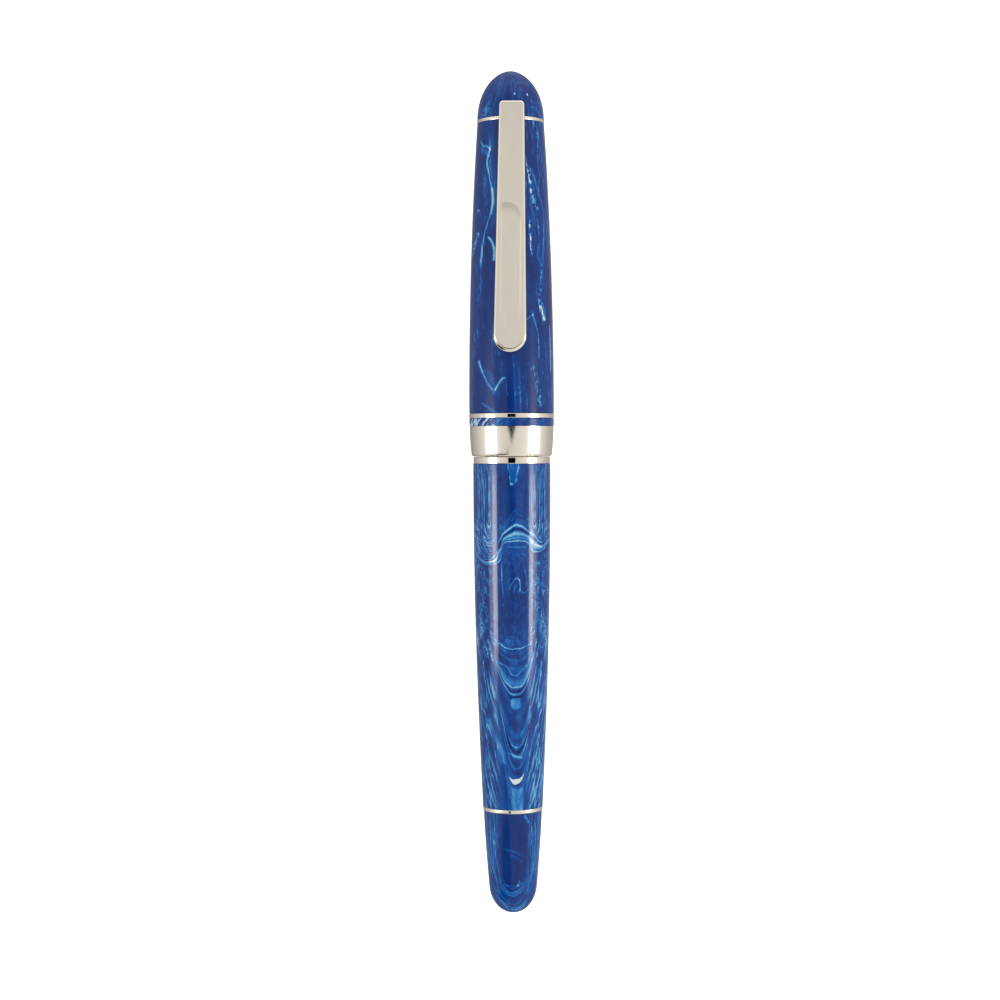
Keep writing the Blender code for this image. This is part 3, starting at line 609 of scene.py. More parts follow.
def cap_pattern(finish):
    """Dark resin with a few hooked wisps and streaks."""
    drift = finish.noise(2.6, 6.0, seed=1.0)
    jitter = finish.noise(0.7, 1.6, seed=2.0)
    angle = finish.angle + drift * 0.05 + jitter * 0.03
    y = finish.y + finish.noise(2.2, 5.0, seed=3.0) * 0.5 + jitter * 0.3
    ragged = finish.noise(0.35, 0.7, seed=16.0).step(-0.08, 0.1)
    tone = shades(finish, angle * 4.0, y * 0.09, 5.0) * 0.34 + 0.22
    tone = tone + finish.noise(0.25, 0.6, 3.0, 0.65) * 0.16
    streaks = veins(finish, angle * 6.0 + y * 0.06, y * 0.08, 9.0, 0.035)
    right = angle.step(0.3, 0.5) * y.step(34.0, 44.0)
    streaks = streaks * (finish.noise(2.5, 9.0, seed=6.0).step(-0.02, 0.12) + right)
    flecks = veins(finish, angle * 9.0, y * 0.8, 28.0, 0.05, 4.0)
    flecks = flecks * finish.noise(1.2, 3.0, seed=19.0).step(0.05, 0.2)
    lengthwise = strokes(y, angle, [
        ([(37.8, -0.84), (41.5, -0.75), (44.0, -0.63), (45.5, -0.55), (47.1, -0.50), (48.4, -0.50),
          (50.6, -0.58), (52.5, -0.66), (54.1, -0.71), (55.1, -0.66), (56.2, -0.62)], 0.05, 0.4),
        ([(43.5, -0.56), (47.1, -0.42), (50.6, -0.48), (54.1, -0.58), (58.0, -0.60)], 0.15, 0.1),
        ([(45.5, -0.52), (47.5, -0.49), (49.5, -0.53)], 0.07, 0.16),
        ([(38.0, -0.44), (39.2, -0.43), (40.2, -0.46), (41.6, -0.58)], 0.07, 0.6),
        ([(22.2, 0.70), (25.7, 0.68), (27.5, 0.60), (29.0, 0.53)], 0.03, 0.36),
        ([(16.9, -0.48), (17.6, -0.57), (18.8, -0.66), (20.4, -0.78), (21.4, -0.85)], 0.055, 0.4),
        ([(16.0, -0.38), (18.0, -0.46), (20.0, -0.62)], 0.16, 0.14),
        ([(19.8, -0.76), (21.6, -0.86)], 0.1, 0.16),
        ([(20.2, 1.18), (27.0, 1.14)], 0.05, 0.5),
        ([(13.0, 0.10), (22.0, 0.04)], 0.03, 0.2),
        ([(13.5, 0.22), (20.0, 0.17)], 0.05, 0.16),
        ([(30.0, 0.76), (30.7, 0.73), (31.7, 0.70)], 0.035, 0.5),
        ([(29.0, 0.84), (29.6, 0.82), (30.4, 0.77)], 0.045, 0.7),
        ([(29.4, 0.76), (30.3, 0.72)], 0.03, 0.4),
        ([(28.1, 0.90), (28.4, 0.88), (28.7, 0.87)], 0.05, 0.5),
        ([(39.0, 0.90), (45.0, 0.98), (50.0, 0.78), (54.0, 0.42)], 0.05, 0.2),
        ([(44.0, 0.66), (53.5, 0.46)], 0.04, 0.22),
    ])
    crosswise = strokes(angle, y, [
        ([(-1.02, 57.5), (-0.86, 56.8), (-0.72, 56.6), (-0.62, 56.0)], 0.35, 0.42),
        ([(-0.98, 56.4), (-0.68, 55.4)], 0.9, 0.26),
        ([(-1.08, 45.8), (-1.0, 46.4), (-0.92, 45.4)], 0.3, 0.4),
        ([(0.40, 28.2), (0.55, 29.0)], 0.2, 0.3),
        ([(-0.39, 16.7), (-0.32, 17.5), (-0.21, 18.5), (-0.16, 18.6), (-0.13, 17.4), (-0.10, 15.9)],
         0.34, 0.4),
        ([(-0.44, 16.4), (-0.22, 18.4)], 0.8, 0.16),
        ([(-0.74, 14.5), (-0.37, 13.1)], 0.3, 0.3),
    ])
    broken = strokes(y, angle, [
        ([(28.0, 0.90), (30.2, 0.84), (32.2, 0.74)], 0.10, 0.5),
        ([(32.5, 0.78), (38.0, 0.86)], 0.08, 0.32),
        ([(39.0, 0.54), (44.0, 0.50)], 0.06, 0.6),
        ([(46.5, 0.74), (48.7, 0.60), (52.5, 0.52)], 0.09, 0.6),
        ([(14.5, 0.72), (18.0, 0.62), (20.8, 0.47)], 0.13, 0.5),
        ([(39.0, -1.25), (42.5, -0.98)], 0.14, 0.5),
    ])
    return tone + streaks * 0.26 + flecks * 0.22 + lengthwise + crosswise + broken * ragged


def finial_pattern(finish):
    """Finely streaked from the tip, with a few flecks near the clip's root."""
    spread = (finish.x ** 2.0 + finish.z ** 2.0) ** 0.5
    rays = veins(finish, finish.angle * 6.0, spread * 0.5, 3.0)
    grain = finish.noise(0.22, 0.5, 3.0, 0.65) * 0.2 + finish.noise(1.5, 3.0, seed=4.0) * 0.3
    flecks = strokes(finish.y, finish.angle, [
        ([(65.05, 0.13), (65.3, 0.14)], 0.035, 0.8),
        ([(65.0, 0.59), (65.35, 0.57)], 0.04, 0.8),
    ])
    swirls = veins(finish, spread * 1.6 + finish.angle * 2.0, finish.y * 0.5, 13.0)
    swirls = swirls * finish.y.step(65.5, 62.5) * finish.angle.size().step(0.5, 0.8)
    return grain + 0.22 + rays * 0.2 + swirls * 0.3 + flecks


def end_pattern(finish):
    """Dark in the middle, with streaks that follow the outline and meet round the tail."""
    jitter = finish.noise(0.8, 1.6, seed=2.0)
    angle = finish.angle + jitter * 0.06
    y = finish.y + jitter * 0.4
    side = angle.size()
    inward = (side ** 2.0 + ((-y - 60.5).most(0.0) * 0.125) ** 2.0) ** 0.5
    inward = inward + finish.noise(3.0, 4.0, seed=12.0) * 0.22
    lines = veins(finish, inward * 6.5, y * 0.1, 7.0, 0.06) * inward.step(0.35, 0.8)
    tones = shades(finish, inward * 6.0, y * 0.12, 11.0) * inward.step(0.3, 0.7) * 0.4
    nested = sum_of_bands(inward, [
        (0.60, 0.04, 0.14), (0.72, 0.03, 0.16), (0.81, 0.04, 0.14), (0.91, 0.03, 0.22),
        (1.02, 0.05, 0.20), (1.11, 0.03, 0.16),
    ]) * finish.noise(2.0, 4.0, seed=9.0).step(-0.2, 0.1)
    crosswise = strokes(angle, y, [
        ([(-0.34, -58.5), (-0.05, -58.8), (0.30, -59.4)], 0.35, 0.16),
        ([(-0.10, -59.6), (0.12, -59.9), (0.32, -60.6)], 0.35, 0.15),
        ([(-0.40, -63.8), (0.00, -64.6), (0.36, -64.2)], 0.25, 0.2),
    ])
    lengthwise = strokes(y, angle, [
        ([(-64.6, 0.18), (-63.8, 0.25)], 0.06, 0.4),
        ([(-54.2, 0.56), (-53.0, 0.42)], 0.06, 0.4),
        ([(-63.5, -0.52), (-60.0, -0.70), (-57.5, -0.76)], 0.06, 0.2),
    ])
    grain = finish.noise(0.22, 0.6, 3.0, 0.65) * 0.18 + finish.noise(1.5, 6.0, seed=4.0) * 0.24
    pale = grain + 0.21 + inward.step(0.5, 1.0) * 0.08
    return pale + lines * 0.28 + tones + nested + crosswise + lengthwise


def spacer_pattern(finish):
    """Slanting pale strokes, closest together on one side."""
    slant = finish.angle * 7.0 - finish.y * 0.8
    dashes = veins(finish, slant, finish.y * 0.3, 5.0, 0.1)
    dashes = dashes * (finish.angle.step(-0.1, -0.6) * 0.8 + 0.2)
    grain = finish.noise(0.22, 0.4, 3.0, 0.65) * 0.2 + finish.noise(1.5, 1.5, seed=4.0) * 0.2
    return grain + 0.28 + dashes * 0.75


# ---- other finishes

def mottled(finish, grain, colour, darkest, spread):
    """A colour that darkens where the grain is low."""
    dark = tuple(c * darkest for c in colour)
    return colour_ramp(finish.tree, grain + 0.5, [(0.5 - spread, dark), (0.5 + spread, colour)])


def polished_metal(name, colour, roughness, seed):
    finish = Finish(name, seed)
    scratches = finish.noise(0.5, 0.04)
    clouds = finish.noise(1.5, 3.0, seed=5.0)
    tint = mottled(finish, clouds, colour, 0.97, 0.2)
    finish.set(base_color=tint, metallic=1.0, roughness=(scratches * 0.05 + roughness).clamp())
    finish.relief(scratches, 0.0004)
    return finish.material


def plain_plastic(name, colour, roughness, seed):
    finish = Finish(name, seed)
    grain = finish.noise(0.15, 0.15, 3.0)
    tint = mottled(finish, grain, colour, 0.8, 0.25)
    finish.set(base_color=tint, roughness=(grain * 0.12 + roughness).clamp())
    finish.relief(grain, 0.003)
    return finish.material


def clear_plastic(name):
    finish = Finish(name, 8.0)
    haze = finish.noise(0.8, 3.0)
    finish.set(base_color=(0.78, 0.83, 0.86, 1.0), roughness=(haze * 0.04 + 0.06).clamp(), ior=1.49)
    finish.shader.inputs["Transmission Weight"].default_value = 0.9
    return finish.material


TRIM = polished_metal("warm_silver", (0.86, 0.82, 0.745), 0.05, 1.0)
BAND_METAL = polished_metal("brushed_silver", (0.86, 0.82, 0.745), 0.13, 9.0)
NIB_STEEL = polished_metal("nib_steel", (0.80, 0.79, 0.77), 0.1, 2.0)
TIP_ALLOY = polished_metal("nib_tip_alloy", (0.72, 0.72, 0.73), 0.22, 3.0)
BRASS = polished_metal("brass", (0.72, 0.52, 0.24), 0.22, 4.0)
BLACK_RESIN = plain_plastic("black_resin", (0.016, 0.016, 0.018), 0.12, 5.0)
BLACK_PLASTIC = plain_plastic("black_plastic", (0.022, 0.022, 0.023), 0.36, 6.0)
RUBBER = plain_plastic("rubber", (0.03, 0.03, 0.031), 0.6, 7.0)
CLEAR = clear_plastic("clear_plastic")


# ---- threads

def ridge(phase, sharp=0.36):
    """A thread's height at a phase of its pitch: a rounded crest on a flat root."""
    away = abs((phase + 0.5) % 1.0 - 0.5)
    return max(0.0, 1.0 - away / sharp) ** 0.8


def fade(y, low, high, length):
    """1 from low to high, falling to 0 at both ends over a length."""
    return max(0.0, min(1.0, (y - low) / length, (high - y) / length))


# ---- cap

def cap_radius(y):
    share = min(1.0, max(0.0, (y - CAP_BODY_Y) / (CLIP_RING_Y - CAP_BODY_Y)))
    return CAP_RADIUS - (CAP_RADIUS - CAP_TOP_RADIUS) * share ** CAP_SWELL


def cap_thread(y, angle, radius):
    """The three-start thread in the cap's mouth, between the threads of the section."""
    if radius != CAP_BORE:
        return 0.0
    return -0.22 * ridge(y - angle / math.tau * CAP_LEAD + 0.5) * fade(y, 6.7, 14.8, 0.8)


def make_cap_body():
    """The cap's tube, with the thin end that the rings sit on, its thread and the liner's room."""
    top = CLIP_RING_Y
    steps = 60
    heights = [top + (CAP_BODY_Y - top) * i / steps for i in range(steps)]
    mouth = CAP_LIP + 0.7
    outline = [(STUD_BORE, top)] + [(cap_radius(y), y) for y in heights]
    outline += [(CAP_RADIUS, CAP_BODY_Y + 0.1), (CAP_RADIUS - 0.16, CAP_BODY_Y)]
    outline += [(TENON_RADIUS, CAP_BODY_Y), (TENON_RADIUS, mouth)]
    outline += [(CAP_BORE, mouth + 0.09 * i) for i in range(95)]
    outline += [(5.45, 15.3), (5.45, LINER_MOUTH), (LINER_BORE, LINER_MOUTH)]
    outline += [(LINER_BORE, LINER_END), (STUD_BORE, LINER_END)]
    turned("cap_body", outline, resin("cap_resin", cap_pattern, 0.0), 0.06, swell=cap_thread)


def make_cap_rings():
    bore = TENON_RADIUS + 0.05
    trim = [(bore, TRIM_TOP), (7.06, TRIM_TOP), (7.06, TRIM_LOW), (bore, TRIM_LOW)]
    turned("cap_trim_ring", trim, TRIM)
    spacer = [(bore, TRIM_LOW - 0.02), (6.88, TRIM_LOW - 0.02), (7.03, TRIM_LOW - 0.1),
              (7.02, SPACER_LOW + 0.1), (6.86, SPACER_LOW), (bore, SPACER_LOW)]
    turned("cap_spacer_ring", spacer, resin("spacer_resin", spacer_pattern, 11.0), 0.04)
    band = [(bore, BAND_TOP), (6.97, BAND_TOP)]
    band += curve((6.97, BAND_TOP - 0.01), (6.94, 9.0), (6.8, 7.4), (6.70, 6.35), 14)
    band += curve((6.68, 6.2), (6.66, 6.0), (6.5, CAP_LIP), (6.3, CAP_LIP), 8)
    band += [(5.8, CAP_LIP), (5.8, CAP_LIP + 0.6), (bore, CAP_LIP + 0.6)]
    turned("cap_band", band, BAND_METAL, 0.08)


def make_finial():
    dome = curve((0.0, TIP_Y), (2.3, TIP_Y), (5.54, DOME_BASE + 5.4), (CAP_TOP_RADIUS, DOME_BASE), 48)
    outline = dome + [(1.7, DOME_BASE), (1.7, 66.0), (0.0, 66.0)]
    turned("cap_finial", outline, resin("finial_resin", finial_pattern, 23.0), 0.05)
    stud = [(0.0, 65.7), (1.3, 65.7), (1.6, 65.4), (1.6, 58.9), (0.0, 58.9)]
    turned("finial_stud", stud, BRASS, sides=64)


def make_clip_ring():
    top = CLIP_RING_Y + 0.55
    outline = [(1.7, top), (5.58, top), (5.58, CLIP_RING_Y + 0.01), (1.7, CLIP_RING_Y + 0.01)]
    ring = lathe("clip_ring", softened(outline, 0.1))
    tab = block("clip_tab", (-1.4, CLIP_RING_Y + 0.03, 4.4), (1.4, top - 0.03, 5.9), 0.05)
    show("clip_ring", cut(ring, [tab], "UNION"), TRIM)


def make_inner_cap():
    outline = [(0.0, 58.3), (4.2, 58.3), (4.6, 57.9), (4.6, 35.8), (3.9, 35.8), (3.9, 57.6)]
    outline += [(0.0, 57.6)]
    turned("inner_cap", outline, BLACK_PLASTIC, sides=96)


def clip_half_width(y):
    """Half the clip's width: nearly straight sides, small top corners and a round low end."""
    share = (CLIP_TOP - y) / (CLIP_TOP - CLIP_LOW)
    half = CLIP_TOP_HALF + (CLIP_LOW_HALF - CLIP_TOP_HALF) * min(1.0, share * 1.07)
    from_top = CLIP_CORNER - (CLIP_TOP - y)
    if from_top > 0:
        half -= CLIP_CORNER - math.sqrt(max(0.0, CLIP_CORNER ** 2 - from_top ** 2))
    from_low = CLIP_LOW_HALF - (y - CLIP_LOW)
    if from_low > 0:
        half = math.sqrt(max(0.0, CLIP_LOW_HALF ** 2 - from_low ** 2))
    return half


def clip_edge(y):
    """Size of the round on the clip's edge."""
    share = min(1.0, max(0.0, (CLIP_LOW + 4.5 - y) / 3.5))
    return CLIP_EDGE + (CLIP_LOW_EDGE - CLIP_EDGE) * share


def clip_edge_distance(x, y):
    """How far a point of the clip's face is from its outline, up to the edge's round."""
    side = clip_half_width(max(min(y, CLIP_TOP - CLIP_CORNER), CLIP_LOW + CLIP_LOW_HALF)) - abs(x)
    distance = min(side, CLIP_TOP - y)
    from_low = CLIP_LOW + CLIP_LOW_HALF - y
    if from_low > 0:
        distance = min(distance, CLIP_LOW_HALF - math.hypot(x, from_low))
    corner_x = abs(x) - (CLIP_TOP_HALF - CLIP_CORNER)
    corner_y = y - (CLIP_TOP - CLIP_CORNER)
    if corner_x > 0 and corner_y > 0:
        distance = min(distance, CLIP_CORNER - math.hypot(corner_x, corner_y))
    return min(clip_edge(y), max(0.0, distance))


def clip_panel_rise(x, y):
    """The slightly raised thumb panel on the lower part of the face, with a curved upper end."""
    left, right, top, drop = -1.6, 1.65, 47.1, 2.9
    bend = max(0.0, (x + 0.4) / (right + 0.4))
    upper = top - drop * (1.0 - math.sqrt(max(0.0, 1.0 - min(1.0, bend) ** 2)))
    side = min(1.0, max(0.0, min(x - left, right - x) / 0.12))
    end = min(1.0, max(0.0, (upper - y) / 2.8))
    fade_out = min(1.0, max(0.0, (y - CLIP_LOW - 1.8) / 7.0))
    return 0.08 * side * (1.0 - (1.0 - end) ** 2) * fade_out ** 2 * (3.0 - 2.0 * fade_out)


def clip_rows():
    """The clip's outline as rows of (x, y) points, closest together near the edges."""
    insets = [0.0, 0.01, 0.04, 0.09, 0.16, 0.25, 0.36, 0.48]
    flats = [i / 30.0 * 2 - 1 for i in range(31)]
    ys = [CLIP_TOP - s for s in insets]
    ys += [CLIP_TOP - 0.6 - (CLIP_TOP - CLIP_LOW - 3.4) * i / 200 for i in range(201)]
    ys += [CLIP_LOW + 2.7 - 2.1 * i / 18 for i in range(19)]
    ys += [CLIP_LOW + s for s in reversed(insets)]
    last = 2 * len(insets) + len(flats) - 1
    rows = []
    for y in ys:
        half = clip_half_width(y)
        if half > CLIP_SIDE:
            xs = [-half + s for s in insets]
            xs += [(half - CLIP_SIDE) * u for u in flats]
            xs += [half - s for s in reversed(insets)]
        else:
            xs = [-half + 2 * half * i / last for i in range(last + 1)]
        rows.append([(x, y) for x in xs])
    return rows


def clip_height(x, y, top):
    """Height of the bar's outer face, or of its plain underside."""
    size = clip_edge(y)
    edge = size - clip_edge_distance(x, y)
    drop = (size - math.sqrt(max(0.0, size ** 2 - edge ** 2))) * CLIP_EDGE / size
    slope = (CLIP_TOP - y) / (CLIP_TOP - CLIP_LOW)
    face = CLIP_TOP_FACE + (CLIP_LOW_FACE - CLIP_TOP_FACE) * slope
    return face - drop + clip_panel_rise(x, y) if top else face - CLIP_THICK + drop


def make_clip():
    """A straight springy bar with rounded edges and a thumb panel, on a short leg."""
    bm = bmesh.new()
    faces = []
    for top in (True, False):
        rows = [[vertex(bm, x + CLIP_LEAN * (y - 45.0), y, clip_height(x, y, top)) for x, y in row]
                for row in clip_rows()]
        skin(bm, rows)
        faces.append(rows)
    close_edges(bm, *faces)
    bar = finish_mesh(bm, "clip")
    leg = block("clip_leg", (-1.4, CLIP_RING_Y - 0.42, 6.03), (1.4, CLIP_RING_Y + 0.9, 6.8), 0.1)
    foot = block("clip_foot", (-1.2, 25.15, cap_radius(26.0) + 0.32), (1.2, 26.75, 8.0), 0.3)
    show("clip", cut(bar, [leg, foot], "UNION"), TRIM)


# ---- section and nib

def section_threads(y, angle, radius):
    """The cap's three-start thread, and the finer thread for the barrel behind it."""
    turn = angle / math.tau
    if radius > 4.9:
        return 0.35 * ridge(y - turn * CAP_LEAD) * fade(y, 7.2, 14.6, 0.8)
    if radius > 4.2:
        return 0.3 * ridge(y / BARREL_PITCH - turn) * fade(y, -5.4, 4.0, 0.6)
    return 0.0


def make_section():
    front = 34.83
    grip = curve((4.6, front - 1.0), (4.15, front - 5.5), (4.4, 24.0), (5.05, 16.0), 40)
    outline = [(3.35, front), (4.45, front)] + grip
    outline += [(5.1, 14.9 - 8.2 * i / 90) for i in range(91)]
    outline += [(5.35, 6.5), (5.45, 6.4), (5.45, 5.97), (5.35, 5.87), (4.4, 5.87)]
    outline += [(4.4, 4.2 - 10.0 * i / 110) for i in range(111)]
    outline += [(4.2, -6.0), (3.75, -6.0), (3.75, 15.9), (3.35, 15.9)]
    mesh = lathe("section_grip", outline, 160, section_threads)
    show("section_grip", mesh, BLACK_RESIN)
    ring = [(3.35, 35.5), (4.6, 35.5), (4.6, 34.85), (3.35, 34.85)]
    turned("section_ring", ring, TRIM, 0.18)


def make_nib_housing():
    outline = [(2.9, 35.1), (3.25, 35.1), (3.25, 16.2), (2.0, 16.2), (2.0, 11.8), (1.7, 11.2),
               (1.0, 11.2), (1.0, 18.0), (2.9, 18.0)]
    turned("nib_housing", outline, BLACK_PLASTIC, sides=96)


def nib_spine(y):
    """Height of the nib's inner side above the axis, along its spine."""
    share = max(0.0, (y - TAPER_START) / 17.8)
    return 2.5 - 1.45 * share


def nib_half(y):
    """Half the width of the nib's sheet before it is rolled."""
    if y <= NIB_SHOULDER:
        share = (NIB_SHOULDER - y) / (NIB_SHOULDER - NIB_REAR)
        return 3.8 - 0.6 * math.sin(min(1.0, share * 3.0) * math.pi / 2)
    share = (y - NIB_SHOULDER) / 15.8
    return 0.42 + 3.38 * (1.0 - share) ** 1.35


def make_feed():
    """The feed, with a row of fins under the nib."""
    outline = [(0.0, 52.8), (0.6, 52.7), (FEED_RADIUS - FEED_TAPER * 14.1, 51.6)]
    for i in range(18):
        y = 47.5 - 0.5 * i
        wide = min(FEED_RADIUS, FEED_RADIUS - FEED_TAPER * (y - TAPER_START))
        outline += [(wide, y), (wide - 0.6, y - 0.01), (wide - 0.6, y - 0.24), (wide, y - 0.25)]
    outline += [(FEED_RADIUS, 19.4), (1.95, 19.0), (0.0, 19.0)]
    show("feed", lathe("feed", outline, 96), BLACK_PLASTIC)


def nib_border(y, across):
    """Depth of the engraved line that follows the nib's edges; across is 0 to 1 from spine to edge."""
    inset = nib_half(y) * (1.0 - across)
    line = max(0.0, 1.0 - abs(inset - 0.75) / 0.12)
    return 0.03 * line * fade(y, 35.0, 50.5, 0.6)


def make_nib():
    """A rolled and tapered sheet with its breather hole and slit, and the pellet on its tip."""
    bm = bmesh.new()
    along, across = 150, 80
    sheets = []
    for thick in (NIB_THICK, 0.0):
        rows = []
        for i in range(along + 1):
            y = NIB_REAR + NIB_LENGTH * i / along
            row = []
            for j in range(across + 1):
                share = 2.0 * j / across - 1.0
                angle = nib_half(y) / NIB_ROLL * share
                r = NIB_ROLL + thick - (nib_border(y, abs(share)) if thick else 0.0)
                height = nib_spine(y) - NIB_ROLL + r * math.cos(angle)
                row.append(vertex(bm, r * math.sin(angle), y, height))
            rows.append(row)
        skin(bm, rows)
        sheets.append(rows)
    close_edges(bm, *sheets)
    sheet = finish_mesh(bm, "nib")
    drill = bmesh.new()
    bmesh.ops.create_cone(drill, cap_ends=True, segments=48, depth=6 * MM,
                          radius1=0.6 * MM, radius2=0.6 * MM)
    bmesh.ops.translate(drill, verts=drill.verts, vec=(0.0, 44.5 * MM, (AXIS + 2.2) * MM))
    hole = finish_mesh(drill, "breather_hole")
    slit = block("slit", (-0.035, 44.5, -0.5), (0.035, 56.0, 4.0), 0.005)
    show("nib", cut(sheet, [hole, slit]), NIB_STEEL)
    ball = bmesh.new()
    bmesh.ops.create_uvsphere(ball, u_segments=32, v_segments=20, radius=0.48 * MM)
    centre = (0.0, 55.8 * MM, (AXIS + nib_spine(NIB_REAR + NIB_LENGTH) + 0.1) * MM)
    bmesh.ops.translate(ball, verts=ball.verts, vec=centre)
    show("nib_tipping", finish_mesh(ball, "nib_tipping"), TIP_ALLOY)


# ---- barrel

def make_barrel():
    outside = curve((BARREL_RADIUS, 4.65), (BARREL_RADIUS, -15.4), (5.94, -32.0),
                    (BARREL_END_RADIUS, BARREL_END), 80)
    inside = [(1.6, BARREL_END), (1.6, -50.4), (3.8, -50.4), (4.6, -6.4), (5.55, -6.4)]
    outline = [(5.55, 4.65)] + outside + inside
    turned("barrel", outline, resin("barrel_resin", barrel_pattern, 31.0), 0.06)


def bush_thread(y, angle, radius):
    """The bush's inner thread, which the section screws into."""
    if radius > 5.05:
        return 0.0
    return 0.12 * ridge(y / BARREL_PITCH - angle / math.tau) * fade(y, -5.3, 5.2, 0.5)


def make_barrel_ring():
    outer = [(6.36, BARREL_RING_FRONT), (6.36, BARREL_RING_REAR)]
    outline = [(5.0, BARREL_RING_FRONT)] + outer + [(5.45, BARREL_RING_REAR), (5.45, -5.6)]
    outline = softened(outline + [(5.0, -5.6)], 0.12)
    rear = outline.pop()
    bore = [(5.0, -5.5 + 10.9 * i / 110) for i in range(111)]
    show("barrel_ring", lathe("barrel_ring", outline + [rear] + bore, 160, bush_thread), TRIM)


def make_barrel_end():
    front = BARREL_END - 0.02
    ring = [(1.6, front), (4.95, front), (4.94, END_RING_REAR), (1.6, END_RING_REAR)]
    turned("end_ring", ring, TRIM)
    base = END_RING_REAR - 0.02
    side = curve((4.83, base), (4.72, -55.6), (4.44, -59.6), (3.98, -65.1), 40)
    dome = curve((3.98, -65.1), (3.88, -67.3), (2.5, TAIL_Y), (0.0, TAIL_Y), 40)
    outline = [(0.0, -58.95), (1.6, -58.95), (1.6, base)] + side + dome[1:]
    turned("end_cap", outline, resin("end_resin", end_pattern, 47.0), 0.06)
    screw = [(0.0, -49.8), (0.5, -49.8), (0.5, -49.4), (2.1, -49.4), (2.4, -49.7), (2.4, -50.3),
             (1.3, -50.3), (1.3, -58.3), (1.0, -58.6), (0.0, -58.6)]
    turned("end_screw", screw, BRASS, 0.06, 64)


# ---- ink converter

def make_converter_tube():
    outline = [(2.3, 15.6), (3.1, 15.6), (3.4, 15.3), (3.4, -19.0), (2.95, -19.0), (2.95, 11.0)]
    outline += [(2.3, 11.2)]
    turned("converter_tube", outline, CLEAR, sides=96)


def make_converter_sleeve():
    outline = [(3.5, -17.0), (3.8, -17.1), (3.8, -18.6), (3.72, -18.75), (3.8, -18.9)]
    outline += [(3.8, -28.8), (3.6, -29.0), (2.6, -29.0), (2.6, -19.3), (3.5, -19.3)]
    turned("converter_sleeve", outline, TRIM, 0.08, 96)


def knob_flutes(y, angle, radius):
    """Twelve finger flutes along the knob."""
    if radius < 3.2:
        return 0.0
    return -0.3 * max(0.0, math.cos(12 * angle)) ** 0.5 * fade(y, -38.6, -31.2, 0.5)


def make_converter_drive():
    side = [(3.4, -29.6 - 10.3 * i / 60) for i in range(61)]
    bore = [(0.0, -39.4), (1.5, -39.4), (1.5, -29.3), (3.1, -29.3)]
    mesh = lathe("converter_knob", bore + side + [(2.9, -40.4), (0.0, -40.4)], 144, knob_flutes)
    show("converter_knob", mesh, BLACK_PLASTIC)
    nut = [(1.5, -20.0), (2.3, -20.0), (2.3, -28.7), (1.5, -28.7)]
    turned("drive_nut", nut, BRASS, sides=96)


def rod_thread(y, angle, radius):
    """The coarse two-start groove that the nut drives the rod by."""
    if radius < 1.1:
        return 0.0
    phase = (y - angle / math.tau * ROD_LEAD) / ROD_PITCH
    return -0.14 * (1.0 - ridge(phase, 0.5)) * fade(y, -24.0, 5.0, 0.5)


def make_piston():
    seal = [(0.0, 10.4), (1.85, 10.4), (2.65, 10.0), (2.65, 9.3), (2.3, 9.0)]
    seal += [(2.3, 8.1), (2.65, 7.8), (2.65, 7.0), (0.0, 7.0)]
    turned("piston_seal", seal, RUBBER, 0.12, 96)
    rod = [(0.0, 6.9), (1.7, 6.9), (1.7, 6.1)] + [(1.2, 6.0 - 30.2 * i / 240) for i in range(241)]
    rod += [(0.9, -24.5), (0.0, -24.5)]
    show("piston_rod", lathe("piston_rod", rod, 48, rod_thread), BLACK_PLASTIC)


# ---- studio

# How bright the walls are at each angle about the pen, in degrees from straight up.
WALLS = [
    (-180, 0.30), (-147, 0.36), (-110, 0.60), (-85, 0.86), (-62, 1.0), (-50, 1.0), (-42, 0.94),
    (-30, 0.82), (-12, 0.76), (0, 0.78), (12, 0.80), (27, 0.84), (36, 0.90), (46, 0.98), (75, 1.0),
    (96, 0.80), (124, 0.54), (180, 0.40),
]
LONG_STRIP = (-0.17, 0.04, 0.05)
SHORT_STRIP = (-0.15, -0.02, 0.012)
# Strip lamps beside the pen: (angle, half width, softness), brightness, and the strip's ends along
# the pen as (low, high, softness).
LAMPS = [
    ((-61, 4, 13), 1.4, LONG_STRIP),
    ((62, 3, 15), 1.8, LONG_STRIP),
    ((-53, 5, 4), 15.0, SHORT_STRIP),
    ((-65, 4, 10), 4.0, SHORT_STRIP),
    ((60, 5, 4), 13.0, SHORT_STRIP),
    ((70, 4, 12), 5.0, SHORT_STRIP),
]


def overhead_dim(x, y, z):
    """How much weaker the light is overhead, in the places that the clip's face mirrors."""
    overhead = z.step(0.2, 0.8) * x.size().step(0.5, 0.2)
    return (y.step(0.04, 0.1) * 0.06 + y.bump(0.0, 0.07) * 0.10 + y.bump(0.30, 0.08) * 0.2) * overhead


def dark_gap(x, y, z):
    """The black shape straight overhead and the spot beside it, which rings and band mirror."""
    width = y.step(-0.1, -0.02) * 0.11 + y.step(-0.2, -0.06) * 0.06
    gap = (x.size() - width).step(0.04, 0.0) * z.step(0.0, 0.3)
    gap = gap * y.step(0.08, 0.03) * y.step(-0.14, -0.1)
    spot = (x + 0.2).size().step(0.09, 0.05) * y.between(-0.222, -0.2, 0.01) * z.step(0.5, 0.8)
    return gap.most(spot)


def dark_panel(x, y, z):
    """A dark panel beyond the tail on the left, which the clip's round low end mirrors."""
    panel = (x - y).size().step(0.5, 0.24) * (x + y).step(-0.46, -0.56)
    return panel * y.step(-0.2, -0.3) * z.step(0.0, 0.15)


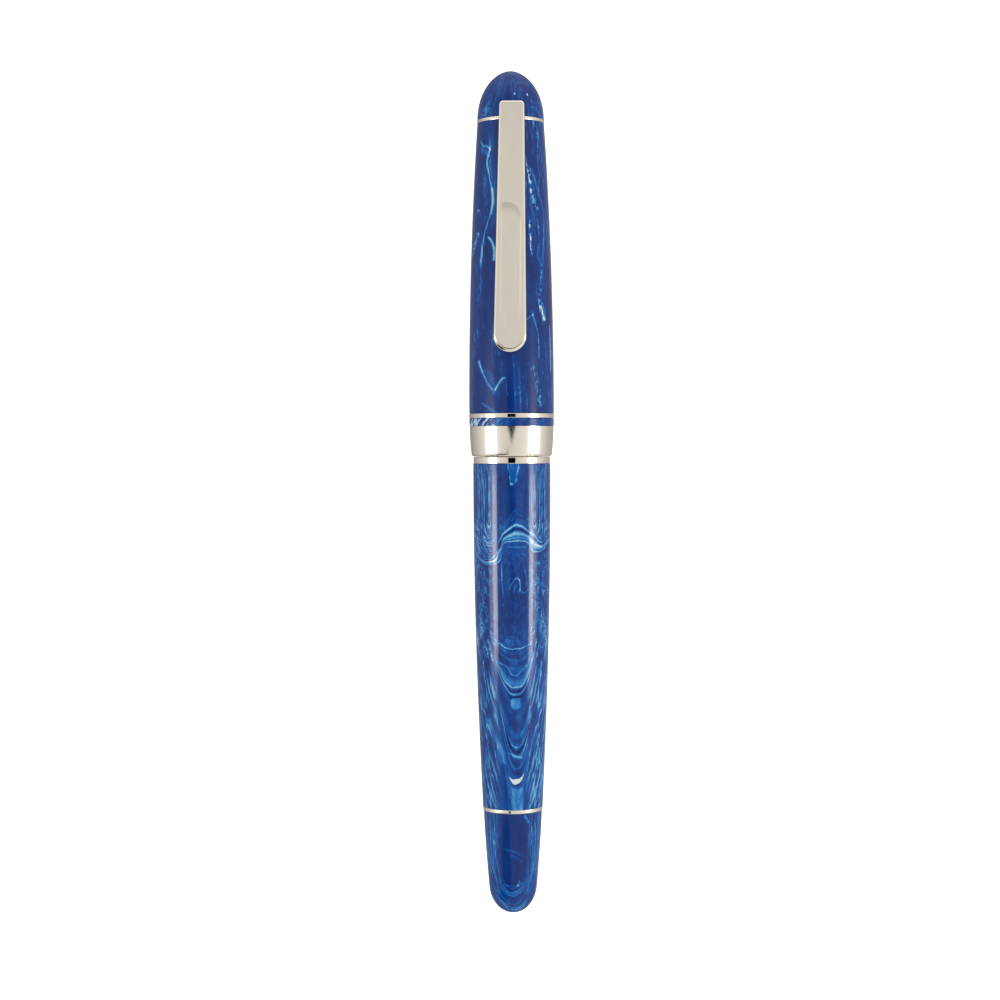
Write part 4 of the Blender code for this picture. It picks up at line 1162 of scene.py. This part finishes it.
def make_world():
    """Soft walls, strip lamps and dark shapes that the pen mirrors, and a plain backdrop to see."""
    world = bpy.data.worlds.new("studio")
    world.use_nodes = True
    bpy.context.scene.world = world
    tree = world.node_tree
    x, y, z = split(tree, add_node(tree, "TexCoord").outputs["Generated"])
    turn = x.math("ARCTAN2", z) * (180.0 / math.pi)
    stops = [((angle + 180) / 360.0, (level,) * 3) for angle, level in WALLS]
    walls = Field(tree, colour_ramp(tree, turn * (1.0 / 360.0) + 0.5, stops))
    far_wall = y.step(0.6, 0.9) * 0.5
    light = walls + far_wall - overhead_dim(x, y, z)
    for (angle, half_width, soft), brightness, ends in LAMPS:
        across = turn.between(angle - half_width, angle + half_width, soft)
        light = light + across * y.between(*ends) * brightness
    light = light * (-dark_gap(x, y, z) + 1.0) * (dark_panel(x, y, z) * -0.94 + 1.0)
    backdrop = Field(tree, add_node(tree, "LightPath").outputs["Is Camera Ray"])
    light = light * (-backdrop + 1.0) + backdrop
    background = tree.nodes["Background"]
    background.inputs["Color"].default_value = (1.0, 0.965, 0.91, 1.0)
    put(tree, light, background.inputs["Strength"])


def make_floor():
    """A plain white table that the pen lies on."""
    half = 2.0
    gap = 0.04 * MM
    mesh = bpy.data.meshes.new("table")
    corners = [(-half, -half), (half, -half), (half, half), (-half, half)]
    mesh.from_pydata([(x, y, -gap) for x, y in corners], [], [(0, 1, 2, 3)])
    table = place("table", mesh)
    finish = Finish("white_table")
    finish.set(base_color=(0.8, 0.8, 0.8, 1.0), roughness=0.9)
    finish.shader.inputs["Emission Color"].default_value = (1.0, 1.0, 1.0, 1.0)
    finish.shader.inputs["Emission Strength"].default_value = 0.9
    mesh.materials.append(finish.material)
    table.visible_glossy = False
    table.visible_diffuse = False


def make_camera():
    """Straight above the pen, as far away as a long lens on a copy stand."""
    height = 334.7
    lens = bpy.data.cameras.new("camera")
    lens.lens = 72.6
    lens.sensor_width = 36.0
    lens.shift_x = -0.0117
    lens.shift_y = -0.0548
    lens.clip_start = 0.01
    camera = place("camera", lens)
    camera.location = (0.0, 7.7 * MM, (AXIS + height) * MM)
    camera.rotation_euler = (0.0, 0.0, math.radians(-0.19))
    bpy.context.scene.camera = camera


MAKERS = [
    make_cap_body, make_cap_rings, make_finial, make_clip_ring, make_inner_cap, make_clip,
    make_section, make_nib_housing, make_feed, make_nib,
    make_barrel, make_barrel_ring, make_barrel_end,
    make_converter_tube, make_converter_sleeve, make_converter_drive, make_piston,
    make_world, make_floor, make_camera,
]
for make in MAKERS:
    make()

bpy.context.scene.view_settings.view_transform = "Standard"
